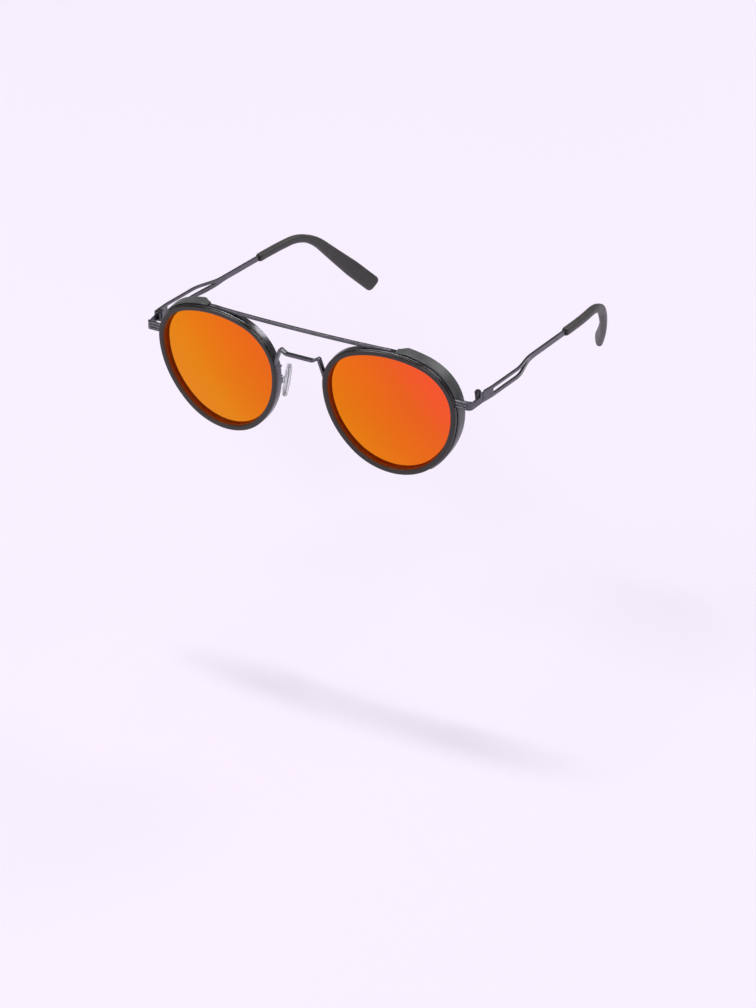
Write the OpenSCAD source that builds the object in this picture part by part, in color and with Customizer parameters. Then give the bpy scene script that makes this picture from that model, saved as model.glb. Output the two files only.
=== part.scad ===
// Glacier glasses: a double-bridge metal front with moulded rims and mirrored lenses,
// side shields, split temples with ear sleeves, and nose pads that rock on their screws.
// Millimetres. The wearer looks along -Y, so the wearer's left is +X. Z is up, and the
// glasses stand on the two lower rims and on the ends of the two ear sleeves.

/* [Lens outline] */
// Distance between the two lens centres
lens_spacing = 71; // [68:0.5:78]
// Radius of the flat brow arc, on the rim's outer edge
brow_r = 42.8; // [38:0.5:52]
// Radius of the two upper corners
corner_r = 18.5; // [17:0.1:20]
// Radius of the two cheek sides
cheek_r = 33; // [30:0.5:36]
// Angle from the top where the brow turns into the corner
brow_angle = 18; // [16:0.5:20]
// Angle from the top where the corner turns into the cheek
corner_angle = 87.6; // [84:0.2:91]
// Angle from the top where the cheek turns into the chin
cheek_angle = 136.9; // [133:0.1:140]

/* [Front rim] */
// Forward lean of the lens tops
front_tilt = 7.2; // [4:0.2:12]
// Turn of each lens round the face
front_wrap = 3.9; // [0:0.1:8]
// Width of the rim seen from the front
rim_w = 2.1; // [1.95:0.05:2.4]
// Thickness of the rim
rim_t = 0.9; // [0.8:0.05:1.1]
// Chamfer on the rim's outer front edge
rim_chamfer = 0.3; // [0.2:0.05:0.4]
// Width of the bevel on the rim's inside edge
rim_bevel = 0.4; // [0.2:0.05:0.6]

/* [Lens] */
// Radius of the lens dome
dome_r = 200; // [150:10:400]
// Thickness of the lens
lens_t = 1.5; // [1.2:0.1:1.8]
// Thickness of the tongue round the lens edge
tongue_t = 1; // [0.8:0.1:1.2]

/* [Eyewire] */
// Width of the eyewire across its section
wire_w = 1.8; // [1.6:0.05:1.9]
// Depth of the eyewire, front to back
wire_d = 2.7; // [2.4:0.05:3.2]
// Depth of the channel that takes the lens tongue
channel_d = 0.65; // [0.5:0.05:0.8]

/* [Side shield] */
// Thickness of the shield wall
shield_t = 0.7; // [0.6:0.05:1]
// Reach of the shield behind the rim's front face
shield_d = 6.5; // [5.8:0.1:7.5]
// Outward flare of the shield wall at its back edge
shield_flare = 0.25; // [0:0.05:0.5]
// Distance from the lens's centre line to the shield's upper end
shield_start = 3.2; // [2.6:0.2:4]
// Distance from the lens's centre line to the top of the shield's rounded rise
shield_step = 6.8; // [6:0.2:9]
// How far the shield's low front end stands behind the eyewire
shield_low = 0.6; // [0.6:0.05:0.9]
// Angle from the top at which the lower end tapers out
shield_end = 142; // [135:1:160]

/* [Bars] */
// Height of the brow bar
brow_h = 1.45; // [1.2:0.05:1.6]
// Depth of the brow bar
brow_d = 1.2; // [1:0.05:1.6]
// How far the brow bar stands above the eyewires' front edges
brow_proud = 0.85; // [0.6:0.05:1]
// How far the brow bar's ends lie behind its middle
brow_bow = 1.2; // [0.6:0.1:1.6]
// How far the brow bar runs past the lens centres
brow_over = 2.3; // [1:0.1:2.4]
// Length of the slope at each end of the brow bar
brow_slope = 0.7; // [0.4:0.1:2]
// Thickness of the bridge strip
bridge_t = 0.95; // [0.8:0.05:1.2]
// Depth of the bridge strip, front to back
bridge_d = 1.9; // [1.4:0.1:2.2]
// Height of the bridge strip's middle above the lens centres
bridge_z = 14.2; // [12:0.2:17]
// Height of the bridge's feet above the lens centres
bridge_foot_z = 8.2; // [7:0.2:10]
// Rise of the raised shoulders above the middle
bridge_rise = 1.5; // [0.6:0.1:2]
// Distance between the two raised shoulders
bridge_w = 15.8; // [14:0.2:17]

/* [End pieces and hinges] */
// Height of the hinge above the lens centres
hinge_z = 10.6; // [10:0.05:11.2]
// Height of the end piece's front plate above the lens centres
lug_z = 9.75; // [9.2:0.05:10.4]
// Reach of the end piece's arm beyond the rim, at the hinge
lug_reach = 6.9; // [6:0.1:8]
// Reach of the end piece's bend beyond the rim
lug_bend = 6.2; // [5:0.1:7]
// Height of the end piece
lug_h = 3.2; // [2.6:0.1:3.6]
// Height of the end piece's arm between its bend and the hinge
arm_h = 2.6; // [2.2:0.1:3]
// Thickness of the end piece's arm and of the temple
temple_t = 0.9; // [0.8:0.05:1.1]
// Distance from the end piece's front to the hinge axis
hinge_back = 7.6; // [6.8:0.1:8.6]
// Radius of the three ribs on the end piece
rib_r = 0.48; // [0.4:0.02:0.54]
// Spacing of the three ribs
rib_pitch = 1.08; // [1:0.02:1.2]
// Radius of the hinge barrel
barrel_r = 1.2; // [1.1:0.05:1.4]
// Height of the hinge barrel
barrel_h = 3.9; // [3.6:0.1:4.5]
// Gap between hinge knuckles
knuckle_gap = 0.06; // [0.04:0.01:0.1]
// Diameter of the hinge screw's shank
pin_d = 1.2; // [1:0.05:1.3]
// Running clearance round the screw shank
pin_fit = 0.04; // [0.02:0.01:0.06]
// Forward lean of the hinge axis
hinge_cant = 9.5; // [6:0.5:12]

/* [Temples] */
// Downward pitch of the temple behind the hinge
temple_pitch = 2.7; // [1.5:0.1:4]
// Height of the temple's front plate and split
temple_h = 4.15; // [3.8:0.05:4.5]
// Height of the upper split strip
split_h = 1.0; // [0.8:0.05:1.2]
// Height of the lower split strip
split_low = 1.3; // [1:0.05:1.5]
// Distance from the hinge axis to the front of the split
split_front = 6.7; // [5:0.1:8]
// Length of the split
split_len = 29.2; // [25:0.2:33]
// Height of the single strip behind the split
strip_h = 2.05; // [1.6:0.05:2.3]
// Rise of the single strip above the split's middle
strip_rise = 0.62; // [0.3:0.02:0.9]
// Inward step of the temple at the kink
kink_in = 2.4; // [1.5:0.1:3]
// Length of the kink
kink_len = 16; // [10:0.5:20]
// Outward lean of the temple's front plate
plate_out = 0.5; // [0:0.1:0.8]
// Distance from the hinge axis to the ear sleeve
sleeve_front = 66.3; // [62:0.1:70]
// Inward lean of the strip behind the kink
temple_in = 0.3; // [-1:0.1:1.5]

/* [Ear sleeves] */
// Height of the sleeve in front of the ear bend
sleeve_h = 3.2; // [3:0.1:4.5]
// Thickness of the sleeve
sleeve_t = 2.9; // [2.6:0.1:3.4]
// Width of the paddle at the end of the sleeve
paddle_w = 6.5; // [5:0.1:8]
// Radius of the paddle's corners
paddle_r = 2; // [1.4:0.1:2.6]
// Straight length in front of the ear bend
sleeve_run = 21; // [16:0.5:26]
// Radius of the ear bend
ear_r = 29; // [20:0.5:34]
// Angle of the ear bend
ear_angle = 41; // [36:1:46]
// Inward turn of the sleeve along its length
ear_in = 39; // [24:1:42]

/* [Nose pads] */
// Distance between the two pad centres
pad_spacing = 24; // [22:0.5:26]
// Distance of the pad centres behind the lens centres
pad_back = 8.6; // [7.6:0.2:9.6]
// Drop of the pad centres below the lens centres
pad_drop = 1.8; // [1:0.2:4]
// Height of a nose pad
pad_h = 12.2; // [11:0.2:13.4]
// Width of a nose pad
pad_w = 7; // [6:0.2:8]
// Thickness of a nose pad
pad_t = 2.4; // [2.2:0.1:3]
// Turn of the pads towards the back
pad_turn = 35; // [28:1:42]
// Spread of the pads at the bottom
pad_splay = 10; // [4:1:16]
// Diameter of the pad arm's wire
arm_d = 1; // [0.8:0.1:1.2]
// Diameter of the pad screw
pad_pin_d = 0.8; // [0.7:0.05:0.9]

/* [Hidden] */

// Clearance between pieces that seat against each other
seat = 0.05;
// Fineness of round things
$fn = 64;

// Lens outline: four tangent arcs on each side, angles clockwise from the top
function polar(r, a) = r * [sin(a), cos(a)];
brow_c0 = [0, -brow_r];
corner_c0 = brow_c0 + polar(brow_r - corner_r, brow_angle);
cheek_c0 = corner_c0 + polar(corner_r - cheek_r, corner_angle);
chin_r = cheek_r + cheek_c0[0] / sin(cheek_angle);
chin_c0 = cheek_c0 + polar(cheek_r - chin_r, cheek_angle);
half_h = (chin_r - chin_c0[1]) / 2;
mid = [0, half_h];
// Each arc: centre, radius, first angle, last angle
arcs = [
  [brow_c0 + mid, brow_r, 0, brow_angle],
  [corner_c0 + mid, corner_r, brow_angle, corner_angle],
  [cheek_c0 + mid, cheek_r, corner_angle, cheek_angle],
  [chin_c0 + mid, chin_r, cheek_angle, 180]
];
// Stations along one half of the outline, about a given distance apart: centre, radius, angle
function arc_stations(a, gap) = let (n = ceil(a[1] * (a[3] - a[2]) * PI / 180 / gap))
  [for (i = [0 : n - 1]) [a[0], a[1], a[2] + (a[3] - a[2]) * i / n]];
function half_stations(gap) = concat([for (a = arcs) each arc_stations(a, gap)],
  [[arcs[3][0], arcs[3][1], 180]]);
function all_stations(gap) = let (h = half_stations(gap))
  concat(h, [for (i = [len(h) - 2 : -1 : 1]) [[-h[i][0][0], h[i][0][1]], h[i][1], 360 - h[i][2]]]);
function station_at(angle) = let (a = [for (k = arcs) if (angle >= k[2] && angle <= k[3]) k][0])
  [a[0], a[1], angle];
function beside(s, off) = s[0] + polar(s[1] + off, s[2]);
rim_gap = 2.2;
shield_gap = 1.5;
function outline(off) = [for (s = all_stations(rim_gap)) beside(s, off)];
// Half width of the rim's outer edge at a height above the lens centre
corner_low = beside(station_at(corner_angle), 0)[1];
function edge_x(y) = let (a = arcs[y > corner_low ? 1 : 2])
  a[0][0] + sqrt(pow(a[1], 2) - pow(y - a[0][1], 2));

// Depths behind the rim's front face
wire_front = rim_t + seat;
wire_back = wire_front + wire_d;
wire_edge = 0.2;
tongue_mid = wire_front + wire_d / 2;
lens_gap = 0.75;
function sag(r) = dome_r - sqrt(dome_r * dome_r - r * r);
dome_front = rim_t + lens_gap - sag(min([for (p = outline(-rim_w)) norm(p)]));
shield_lead = 0.75;
shield_front = wire_front + shield_lead;
edge_share = 0.4;
thin_share = 0.35;
lip_t = 0.55;
low_back = wire_back + shield_low;
bridge_depth = 1.3;
plate_depth = 1.4;

// A point on the front, from lens coordinates: across, up and depth behind the rim's face
function tilted(p) = [p[0], p[2] * cos(front_tilt) - p[1] * sin(front_tilt),
                      p[1] * cos(front_tilt) + p[2] * sin(front_tilt)];
function wrapped(q) = [lens_spacing / 2 + q[0] * cos(front_wrap) - q[1] * sin(front_wrap),
                       q[0] * sin(front_wrap) + q[1] * cos(front_wrap), q[2]];
function on_front(p) = wrapped(tilted(p));

// Brow bar, bridge and end piece places
bar_edge = on_front([0, half_h, wire_front]);
bridge_foot = on_front([-edge_x(bridge_foot_z), bridge_foot_z, bridge_depth]);
lug_edge = on_front([edge_x(lug_z), lug_z, plate_depth]);
lug_y = lug_edge[1];
bend_r = 1.2;
rib_sink = 0.14;
lug_play = 0.1;

// Hinge places
arm_out = lug_edge[0] + lug_reach;
barrel_sink = 0.2;
axis_x = arm_out - temple_t - barrel_r + barrel_sink;
axis_y = lug_y + hinge_back;
temple_x = arm_out - temple_t / 2;
hinge_gap = 0.25;
barrel_gap = 0.3;
knuckle_h = (barrel_h - 2 * knuckle_gap) / 3;
head_r = 0.95;
head_h = 0.4;
slot_w = 0.25;

// Kink of the temple: the split ends inside it, and one strip runs on from it
function clamp(t) = min(max(t, 0), 1);
function ease(t) = let (u = clamp(t)) u * u * (3 - 2 * u);
split_back = split_front + split_len;
kink_share = 0.73;
kink_front = split_back - kink_share * kink_len;
kink_back = kink_front + kink_len;
function kink(y) = ease((y - kink_front) / kink_len);
function temple_at(y) = plate_out * clamp(y / split_front) - kink_in * kink(y)
  - tan(temple_in) * max(y - kink_back, 0);

// Ear sleeve path in the temple's own frame: straight run, ear bend, drop to the table
bend_len = ear_r * ear_angle * PI / 180;
drop_angle = ear_angle + temple_pitch;
stand_h = half_h * cos(front_tilt) - rim_chamfer * sin(front_tilt);
sleeve_z = stand_h + hinge_z - sleeve_front * sin(temple_pitch) + strip_rise * cos(temple_pitch);
run_z = sleeve_z - sleeve_run * sin(temple_pitch);
bend_z = run_z - ear_r * (cos(temple_pitch) - cos(drop_angle));
paddle_low = (paddle_w / 2 - paddle_r) * cos(drop_angle) + paddle_r * (1 - sin(drop_angle));
drop_len = (bend_z - paddle_low) / sin(drop_angle);
sleeve_len = sleeve_run + bend_len + drop_len;
core_len = sleeve_len - 6;
core_play = 0.1;
path_n = 60;
path_step = sleeve_len / path_n;
turn_len = 1.2 * sleeve_len;
function down_at(s) = ear_angle * clamp((s - sleeve_run) / bend_len);
function in_at(s) = temple_in + ear_in * ease(s / turn_len);
function heading(s) = let (d = down_at(s), w = in_at(s)) [-sin(w) * cos(d), cos(w) * cos(d), -sin(d)];
sleeve_path = [for (i = 0, p = [temple_at(sleeve_front), sleeve_front, strip_rise]; i <= path_n;
                    p = p + path_step * heading((i + 0.5) * path_step), i = i + 1) p];
function path_at(s) = let (k = s / path_step, i = min(max(floor(k), 0), path_n - 1))
  sleeve_path[i] + (k - i) * (sleeve_path[i + 1] - sleeve_path[i]);

// Box of the whole pair, front to back, which sets the origin
tail = path_at(sleeve_len - paddle_r);
tail_out = (paddle_w / 2 - paddle_r) * sin(drop_angle) + paddle_r;
back_y = axis_y + tail[1] * cos(temple_pitch) + tail[2] * sin(temple_pitch) + tail_out * cos(in_at(sleeve_len));
front_y = min([for (p = outline(-rim_chamfer)) on_front([p[0], p[1], 0])[1]]);
mid_y = (front_y + back_y) / 2;

// Nose pad places, in the pad's own frame: x to the nose, y across, z up
pad_axis = -1.9;
boss_w = 1.6;
boss_h = 1.8;
boss_end = pad_axis - 0.7;
cheek_t = 0.5;
cheek_gap = 0.06;
box_back = pad_axis - 1.8;
box_front = pad_axis + 0.6;
box_h = 2.2;
box_half = boss_w / 2 + cheek_gap + cheek_t;
web_t = 0.5;
pad_rear = -0.9;
insert_t = 0.7;
insert_back = -0.6;
insert_l = pad_h - 4.4;
insert_w = pad_w - 3;
pad_head_r = 0.7;
pad_head_h = 0.35;
function splayed(p) = [p[0] * cos(pad_splay) + p[2] * sin(pad_splay), p[1],
                       p[2] * cos(pad_splay) - p[0] * sin(pad_splay)];
function turned(q) = [-q[0] * cos(pad_turn) - q[1] * sin(pad_turn),
                      q[0] * sin(pad_turn) - q[1] * cos(pad_turn), q[2]];
function on_pad_at(p) = turned(splayed(p)) + [pad_spacing / 2, pad_back, -pad_drop];

// Placing modules: the face frame has its origin midway between the lens centres
module left() translate([0, -mid_y, stand_h]) children();
module right() mirror([1, 0, 0]) left() children();
module on_lens() translate([lens_spacing / 2, 0, 0]) rotate([0, 0, front_wrap])
  rotate([front_tilt + 90, 0, 0]) children();
module on_axis() translate([axis_x, axis_y, hinge_z]) rotate([hinge_cant, 0, 0]) children();
module on_temple() translate([temple_x, axis_y, hinge_z]) rotate([-temple_pitch, 0, 0]) children();
module on_pad() translate([pad_spacing / 2, pad_back, -pad_drop]) rotate([0, 0, 180 - pad_turn])
  rotate([0, pad_splay, 0]) children();
// A flat drawing of y to the right and z up, given thickness from x0 to x1
module side_on(x0, x1) translate([x0, 0, 0]) rotate([90, 0, 90]) linear_extrude(x1 - x0) children();

// Faces of a tube of m rings with n points each, open at both ends
function skin(m, n, closed = false) = [
  for (i = [0 : m - (closed ? 1 : 2)]) for (j = [0 : n - 1])
    let (k = (j + 1) % n, a = i * n, b = ((i + 1) % m) * n)
      each [[a + j, b + j, a + k], [a + k, b + j, b + k]]
];
// Solid skinned over rings, with flat ends
module loft(rings) {
  n = len(rings[0]);
  m = len(rings);
  polyhedron([for (r = rings) each r], concat(
    [[for (j = [0 : n - 1]) j]], [[for (j = [n - 1 : -1 : 0]) (m - 1) * n + j]], skin(m, n)));
}
// Solid ring skinned over a closed round of sections
module loop(rings) polyhedron([for (r = rings) each r], skin(len(rings), len(rings[0]), true));
// Section of [offset from the rim's edge, depth behind its face] set at a station
function section_at(s, section) = [for (p = section) let (b = beside(s, p[0])) [b[0], b[1], -p[1]]];
module rim_loop(section) loop([for (s = all_stations(rim_gap)) section_at(s, section)]);
// Everything within the rim's outer edge, back to the eyewire's back, to cope what seats on it
module rim_block() translate([0, 0, -wire_back]) linear_extrude(wire_back + 2) polygon(outline(0));
module rim_blocks() {
  on_lens() rim_block();
  mirror([1, 0, 0]) on_lens() rim_block();
}

module front_rim() color("#3f3f3c") on_lens() rim_loop([
  [0, rim_chamfer], [-rim_chamfer, 0], [rim_bevel - rim_w, 0], [-rim_w, rim_bevel],
  [-rim_w, rim_t], [-rim_chamfer, rim_t], [0, rim_t - rim_chamfer]
]);

module eyewire() color("#5c5760") on_lens() rim_loop([
  [0, wire_front + wire_edge], [-wire_edge, wire_front], [-wire_w, wire_front],
  [-wire_w, tongue_mid - tongue_t / 2 - seat], [channel_d - wire_w, tongue_mid - tongue_t / 2 - seat],
  [channel_d - wire_w, tongue_mid + tongue_t / 2 + seat], [-wire_w, tongue_mid + tongue_t / 2 + seat],
  [-wire_w, wire_back], [0, wire_back]
]);

module lens() color("#e8761c") on_lens() {
  intersection() {
    translate([0, 0, -2 * wire_back]) linear_extrude(3 * wire_back) polygon(outline(-wire_w - 2 * seat));
    translate([0, 0, -dome_front - dome_r]) difference() {
      sphere(dome_r, $fn = 360);
      sphere(dome_r - lens_t, $fn = 360);
    }
  }
  translate([0, 0, -tongue_mid - tongue_t / 2]) linear_extrude(tongue_t)
    polygon(outline(channel_d - wire_w - seat));
}

// Depth of the shield's back edge: a rounded rise, a crest at the temple, a taper out
function step_angle(x) = asin(x / brow_r);
step_low = step_angle(shield_start);
step_top = step_angle(shield_step);
step_share = 0.7;
crest_angle = 60;
taper_angle = cheek_angle * 0.73;
function step_at(a) = ease((a - step_low) / (step_top - step_low));
function shield_back(a) =
  let (crest = ease((a - step_top) / crest_angle), out = ease((a - taper_angle) / (shield_end - taper_angle)))
  low_back + (shield_d - low_back) * (step_share * step_at(a) + (1 - step_share) * crest) * (1 - out);
// The wall is thin at its upper end and full above the rise
function shield_section(a) =
  let (b = shield_back(a), w = shield_t * between(thin_share, 1, step_at(a)), e = edge_share * w,
       f = shield_flare * (b - shield_front) / shield_d) [
    [seat, wire_back + seat], [-wire_w / 2, wire_back + seat], [-wire_w / 2, wire_back + lip_t],
    [seat, wire_back + lip_t], [f + seat, b], [w + f, b], [w, shield_front + e],
    [w - e, shield_front], [2 * seat, shield_front]
  ];
module side_shield() color("#5f6162") difference() {
  step = [for (t = [0 : 0.2 : 1]) between(step_low, step_top, t)];
  rest = [for (s = half_stations(shield_gap)) if (s[2] > step_top + 1 && s[2] < shield_end - 1) s[2]];
  on_lens()
    loft([for (a = concat(step, rest, [shield_end])) section_at(station_at(a), shield_section(a))]);
  // notch that lets the end piece through
  translate([lug_edge[0] - lug_bend / 2, lug_y - lug_bend / 2, lug_z - lug_h / 2 - lug_play])
    cube([lug_bend, lug_bend / 2 + temple_t + lug_play, lug_h + 2 * lug_play]);
}

// Brow bar: an octagon carried along a slight bow, shorter at the top than at the bottom
bar_cut = 0.25;
bar_half = lens_spacing / 2 + brow_over;
bar_top = bar_edge[2] + brow_proud;
bar_mid = bar_edge[1] - brow_bow * 0.4;
bar_section = [
  [bar_cut, -brow_h], [brow_d - bar_cut, -brow_h], [brow_d, bar_cut - brow_h], [brow_d, -bar_cut],
  [brow_d - bar_cut, 0], [bar_cut, 0], [0, -bar_cut], [0, bar_cut - brow_h]
];
function bar_ring(u) = [for (p = bar_section)
  [u * (bar_half - brow_slope * (p[1] / brow_h + 1)), bar_mid + p[0] + brow_bow * u * u, bar_top + p[1]]];
module brow_bar() color("#5c5760") difference() {
  loft([for (u = [-1 : 0.125 : 1]) bar_ring(u)]);
  rim_blocks();
}

// Points of a line with its corners rounded over a length r
function unit(v) = v / norm(v);
function rounded(p, r) = [for (i = [0 : len(p) - 1])
  if (i == 0 || i == len(p) - 1) p[i]
  else let (a = p[i] + r * unit(p[i - 1] - p[i]), c = p[i] + r * unit(p[i + 1] - p[i]))
    for (t = [0 : 0.2 : 1]) (1 - t) * (1 - t) * a + 2 * t * (1 - t) * p[i] + t * t * c];
// One side of a band round a line, at a distance w
function band_side(p, w) = [for (i = [0 : len(p) - 1])
  let (d = unit(p[min(i + 1, len(p) - 1)] - p[max(i - 1, 0)])) p[i] + w * [-d[1], d[0]]];
module band(p, w) {
  far = band_side(p, w / 2);
  near = band_side(p, -w / 2);
  polygon(concat(near, [for (i = [len(far) - 1 : -1 : 0]) far[i]]));
}

bridge_round = 0.95;
shoulder_run = 2.4;
module bridge() color("#5c5760") difference() {
  shoulder = [bridge_w / 2, bridge_z + bridge_rise];
  inner = [bridge_w / 2 - shoulder_run, bridge_z];
  foot = [bridge_foot[0] + bridge_t, bridge_foot_z];
  translate([0, bridge_foot[1] + bridge_d / 2, 0]) rotate([90, 0, 0]) linear_extrude(bridge_d)
    band(rounded([[-foot[0], foot[1]], [-shoulder[0], shoulder[1]], [-inner[0], inner[1]],
                  inner, shoulder, foot], bridge_round), bridge_t);
  rim_blocks();
}

// A hinge knuckle, and the room round the knuckles of the other leaf
module knuckle(z) translate([0, 0, z]) cylinder(r = barrel_r, h = knuckle_h);
module knuckle_room(z) translate([0, 0, z - knuckle_gap]) cylinder(r = barrel_r + barrel_gap, h = knuckle_h + 2 * knuckle_gap);
// Block that joins a knuckle to the inside of its plate, in front of the slit or behind it
leaf_in = 0.3;
module leaf(z, behind) translate([0, behind ? hinge_gap / 2 : -barrel_r, z])
  cube([barrel_r - barrel_sink + leaf_in, barrel_r - hinge_gap / 2, knuckle_h]);
module pin_bore() translate([0, 0, -barrel_h]) cylinder(d = pin_d + 2 * pin_fit, h = 2 * barrel_h);
low_z = -barrel_h / 2;
mid_z = -knuckle_h / 2;
top_z = barrel_h / 2 - knuckle_h;

// End piece: a front plate bent back into a lower arm, with a block as tall as the temple at the hinge
module lug_plan() band(rounded([
  [lug_edge[0] - temple_t, lug_y + temple_t / 2],
  [lug_edge[0] + lug_bend - temple_t / 2, lug_y + temple_t / 2],
  [temple_x, axis_y], [2 * temple_x - lug_edge[0] - lug_bend + temple_t / 2, 2 * axis_y - lug_y - temple_t / 2]
], bend_r), temple_t);
lug_low = lug_z - lug_h / 2;
slit_low = hinge_z - temple_h / 2;
block_y = axis_y - barrel_r - barrel_gap;
module lug_side() polygon([
  [lug_y - 1, lug_low], [lug_y + bend_r, lug_low], [axis_y - hinge_gap / 2, slit_low],
  [axis_y - hinge_gap / 2, slit_low + temple_h], [block_y, slit_low + temple_h], [block_y, slit_low + arm_h],
  [lug_y + 2 * bend_r, lug_low + arm_h], [lug_y + bend_r, lug_low + lug_h], [lug_y - 1, lug_low + lug_h]
]);
module end_piece() color("#5c5760") difference() {
  union() {
    difference() {
      intersection() {
        translate([0, 0, lug_z - 2 * lug_h]) linear_extrude(4 * lug_h) lug_plan();
        side_on(lug_edge[0] - temple_t, arm_out + 1) lug_side();
      }
      on_axis() knuckle_room(mid_z);
    }
    for (k = [-1 : 1]) translate([lug_edge[0] - temple_t, lug_y + rib_sink, lug_z + k * rib_pitch])
      rotate([0, 90, 0]) cylinder(r = rib_r, h = lug_bend + temple_t - bend_r);
    for (z = [low_z, top_z]) on_axis() {
      knuckle(z);
      leaf(z, false);
    }
  }
  on_lens() rim_block();
  on_axis() pin_bore();
}

module hinge_screw() color("#6d6870") on_axis() difference() {
  union() {
    translate([0, 0, low_z]) cylinder(d = pin_d, h = barrel_h);
    translate([0, 0, barrel_h / 2]) cylinder(r = head_r, h = head_h);
  }
  translate([-head_r, -slot_w / 2, barrel_h / 2 + head_h / 2]) cube([2 * head_r, slot_w, head_h]);
}

// Side view of the temple, y to the back: plate, split, kink and strip
low_lag = 3;
function between(a, b, t) = a + (b - a) * t;
function low_edge(y) = between(-temple_h / 2, strip_rise - strip_h / 2, kink(y - low_lag));
function top_edge(y) = between(temple_h / 2, strip_rise + strip_h / 2, kink(y));
strip_end = sleeve_front + 1;
kink_ys = [for (t = [0 : 0.1 : 1]) kink_front + t * kink_len];
late_ys = concat(kink_ys, [for (t = [0.5, 1]) kink_back + t * low_lag]);
// Outline that runs out along one edge and back along the other
module ribbon(out, back) polygon(concat(out, [for (i = [len(back) - 1 : -1 : 0]) back[i]]));
module temple_side() difference() {
  ys = concat([hinge_gap / 2], late_ys, [strip_end]);
  ribbon([for (y = ys) [y, low_edge(y)]], [for (y = ys) [y, top_edge(y)]]);
  slot_ys = concat([split_front], [for (y = kink_ys) if (y < split_back - 0.5) y], [split_back]);
  ribbon([for (y = slot_ys) [y, between(split_low - temple_h / 2, strip_rise, kink(y))]],
         [for (y = slot_ys) [y, between(temple_h / 2 - split_h, strip_rise, kink(y))]]);
}
// Plan of the temple: outward lean, inward kink, straight strip
module temple_plan() {
  ys = concat([0, split_front], kink_ys, [strip_end + 1]);
  ribbon([for (y = ys) [temple_at(y) + temple_t / 2, y]], [for (y = ys) [temple_at(y) - temple_t / 2, y]]);
}
// Rectangle across the sleeve's path
function path_frame(s) = let (d = down_at(s), v = in_at(s))
  [[-cos(v), -sin(v), 0], [-sin(v) * sin(d), cos(v) * sin(d), cos(d)]];
function strip_ring(s, h, w) = let (f = path_frame(s), p = path_at(s))
  [for (c = [[1, -1], [1, 1], [-1, 1], [-1, -1]]) p + c[0] * w / 2 * f[0] + c[1] * h / 2 * f[1]];
// Rounded oblong across the sleeve's path
function power(c, e) = sign(c) * pow(abs(c), e);
function sleeve_ring(s, h, w) = let (f = path_frame(s), p = path_at(s))
  [for (j = [0 : 15]) let (a = 22.5 * j)
    p + power(cos(a), 0.75) * w / 2 * f[0] + power(sin(a), 0.75) * h / 2 * f[1]];

module temple() color("#5c5760") difference() {
  union() {
    difference() {
      on_temple() intersection() {
        side_on(-2 * kink_in - 2 * temple_t, 2 * temple_t + plate_out) temple_side();
        translate([0, 0, -2 * temple_h]) linear_extrude(4 * temple_h) temple_plan();
      }
      on_axis() knuckle_room(low_z);
      on_axis() knuckle_room(top_z);
    }
    on_temple() loft([for (i = [0 : 24])
      strip_ring(core_len * i / 24, strip_h - 2 * core_play, temple_t - 2 * core_play)]);
    on_axis() {
      knuckle(mid_z);
      leaf(mid_z, true);
    }
  }
  on_axis() pin_bore();
}

// Ear sleeve: even in front of the ear bend, then widening to the paddle
function sleeve_h_at(s) = between(sleeve_h, paddle_w, clamp((s - sleeve_run - bend_len / 2) / (drop_len * 0.9)));
function end_round(s, r) = let (t = clamp((s - sleeve_len + r) / r)) r * (1 - sqrt(1 - t * t));
function lead_round(s) = 0.5 * pow(1 - clamp(s), 2);
sleeve_spots = concat([0, 0.3, 0.9, 6], [for (i = [1 : 3]) sleeve_run * (0.25 + 0.25 * i)],
  [for (i = [1 : 9]) sleeve_run + bend_len * i / 9],
  [for (i = [1 : 4]) sleeve_run + bend_len + (drop_len - paddle_r) * i / 4],
  [for (a = [20 : 20 : 80]) sleeve_len - paddle_r + paddle_r * sin(a)]);
module temple_tip() color("#4a4847") on_temple() difference() {
  loft([for (s = sleeve_spots) sleeve_ring(s, sleeve_h_at(s) - 2 * end_round(s, paddle_r) - lead_round(s),
                                           sleeve_t - 2 * end_round(s, sleeve_t / 2) - lead_round(s))]);
  loft([for (s = concat([-1.5], [for (i = [0 : 24]) (core_len + 0.5) * i / 24]))
    strip_ring(s, strip_h + 2 * seat, temple_t + 2 * seat)]);
}

// Pad arm: one bent wire from the eyewire's back to the back of the pad box
arm_z = 6;
arm_root = on_front([wire_w / 2 - edge_x(arm_z), arm_z, wire_back - 0.4]);
arm_end = on_pad_at([box_back - arm_d / 2 + 0.1, 0, -box_h / 2]);
arm_over = on_pad_at([box_back - arm_d / 2, 0, 4]);
arm_lead = [0, 4, 1];
function bezier(t) = pow(1 - t, 3) * arm_root + 3 * t * pow(1 - t, 2) * (arm_root + arm_lead)
  + 3 * t * t * (1 - t) * arm_over + pow(t, 3) * arm_end;
function wire_ring(t) = let (d = unit(bezier(t + 0.01) - bezier(t - 0.01)), a = unit(cross(d, [1, 0, 0])), b = cross(d, a))
  [for (j = [0 : 9]) bezier(t) + arm_d / 2 * (cos(36 * j) * a + sin(36 * j) * b)];
module pad_arm() color("#5c5760") difference() {
  loft([for (t = [0 : 0.0625 : 1]) wire_ring(t)]);
  on_lens() rim_block();
  on_pad() translate([box_back, -box_half, -box_h]) cube([box_front - box_back, 2 * box_half, 2 * box_h]);
}

module pad_bore() translate([pad_axis, 0, 0]) rotate([90, 0, 0])
  cylinder(d = pad_pin_d + 2 * pin_fit, h = 4 * box_half, center = true);
module pad_box() color("#5c5760") on_pad() difference() {
  translate([box_back, -box_half, -box_h / 2]) cube([box_front - box_back, 2 * box_half, box_h]);
  translate([box_back + web_t, cheek_t - box_half, -box_h])
    cube([box_front - box_back, 2 * (box_half - cheek_t), 2 * box_h]);
  pad_bore();
}

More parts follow.
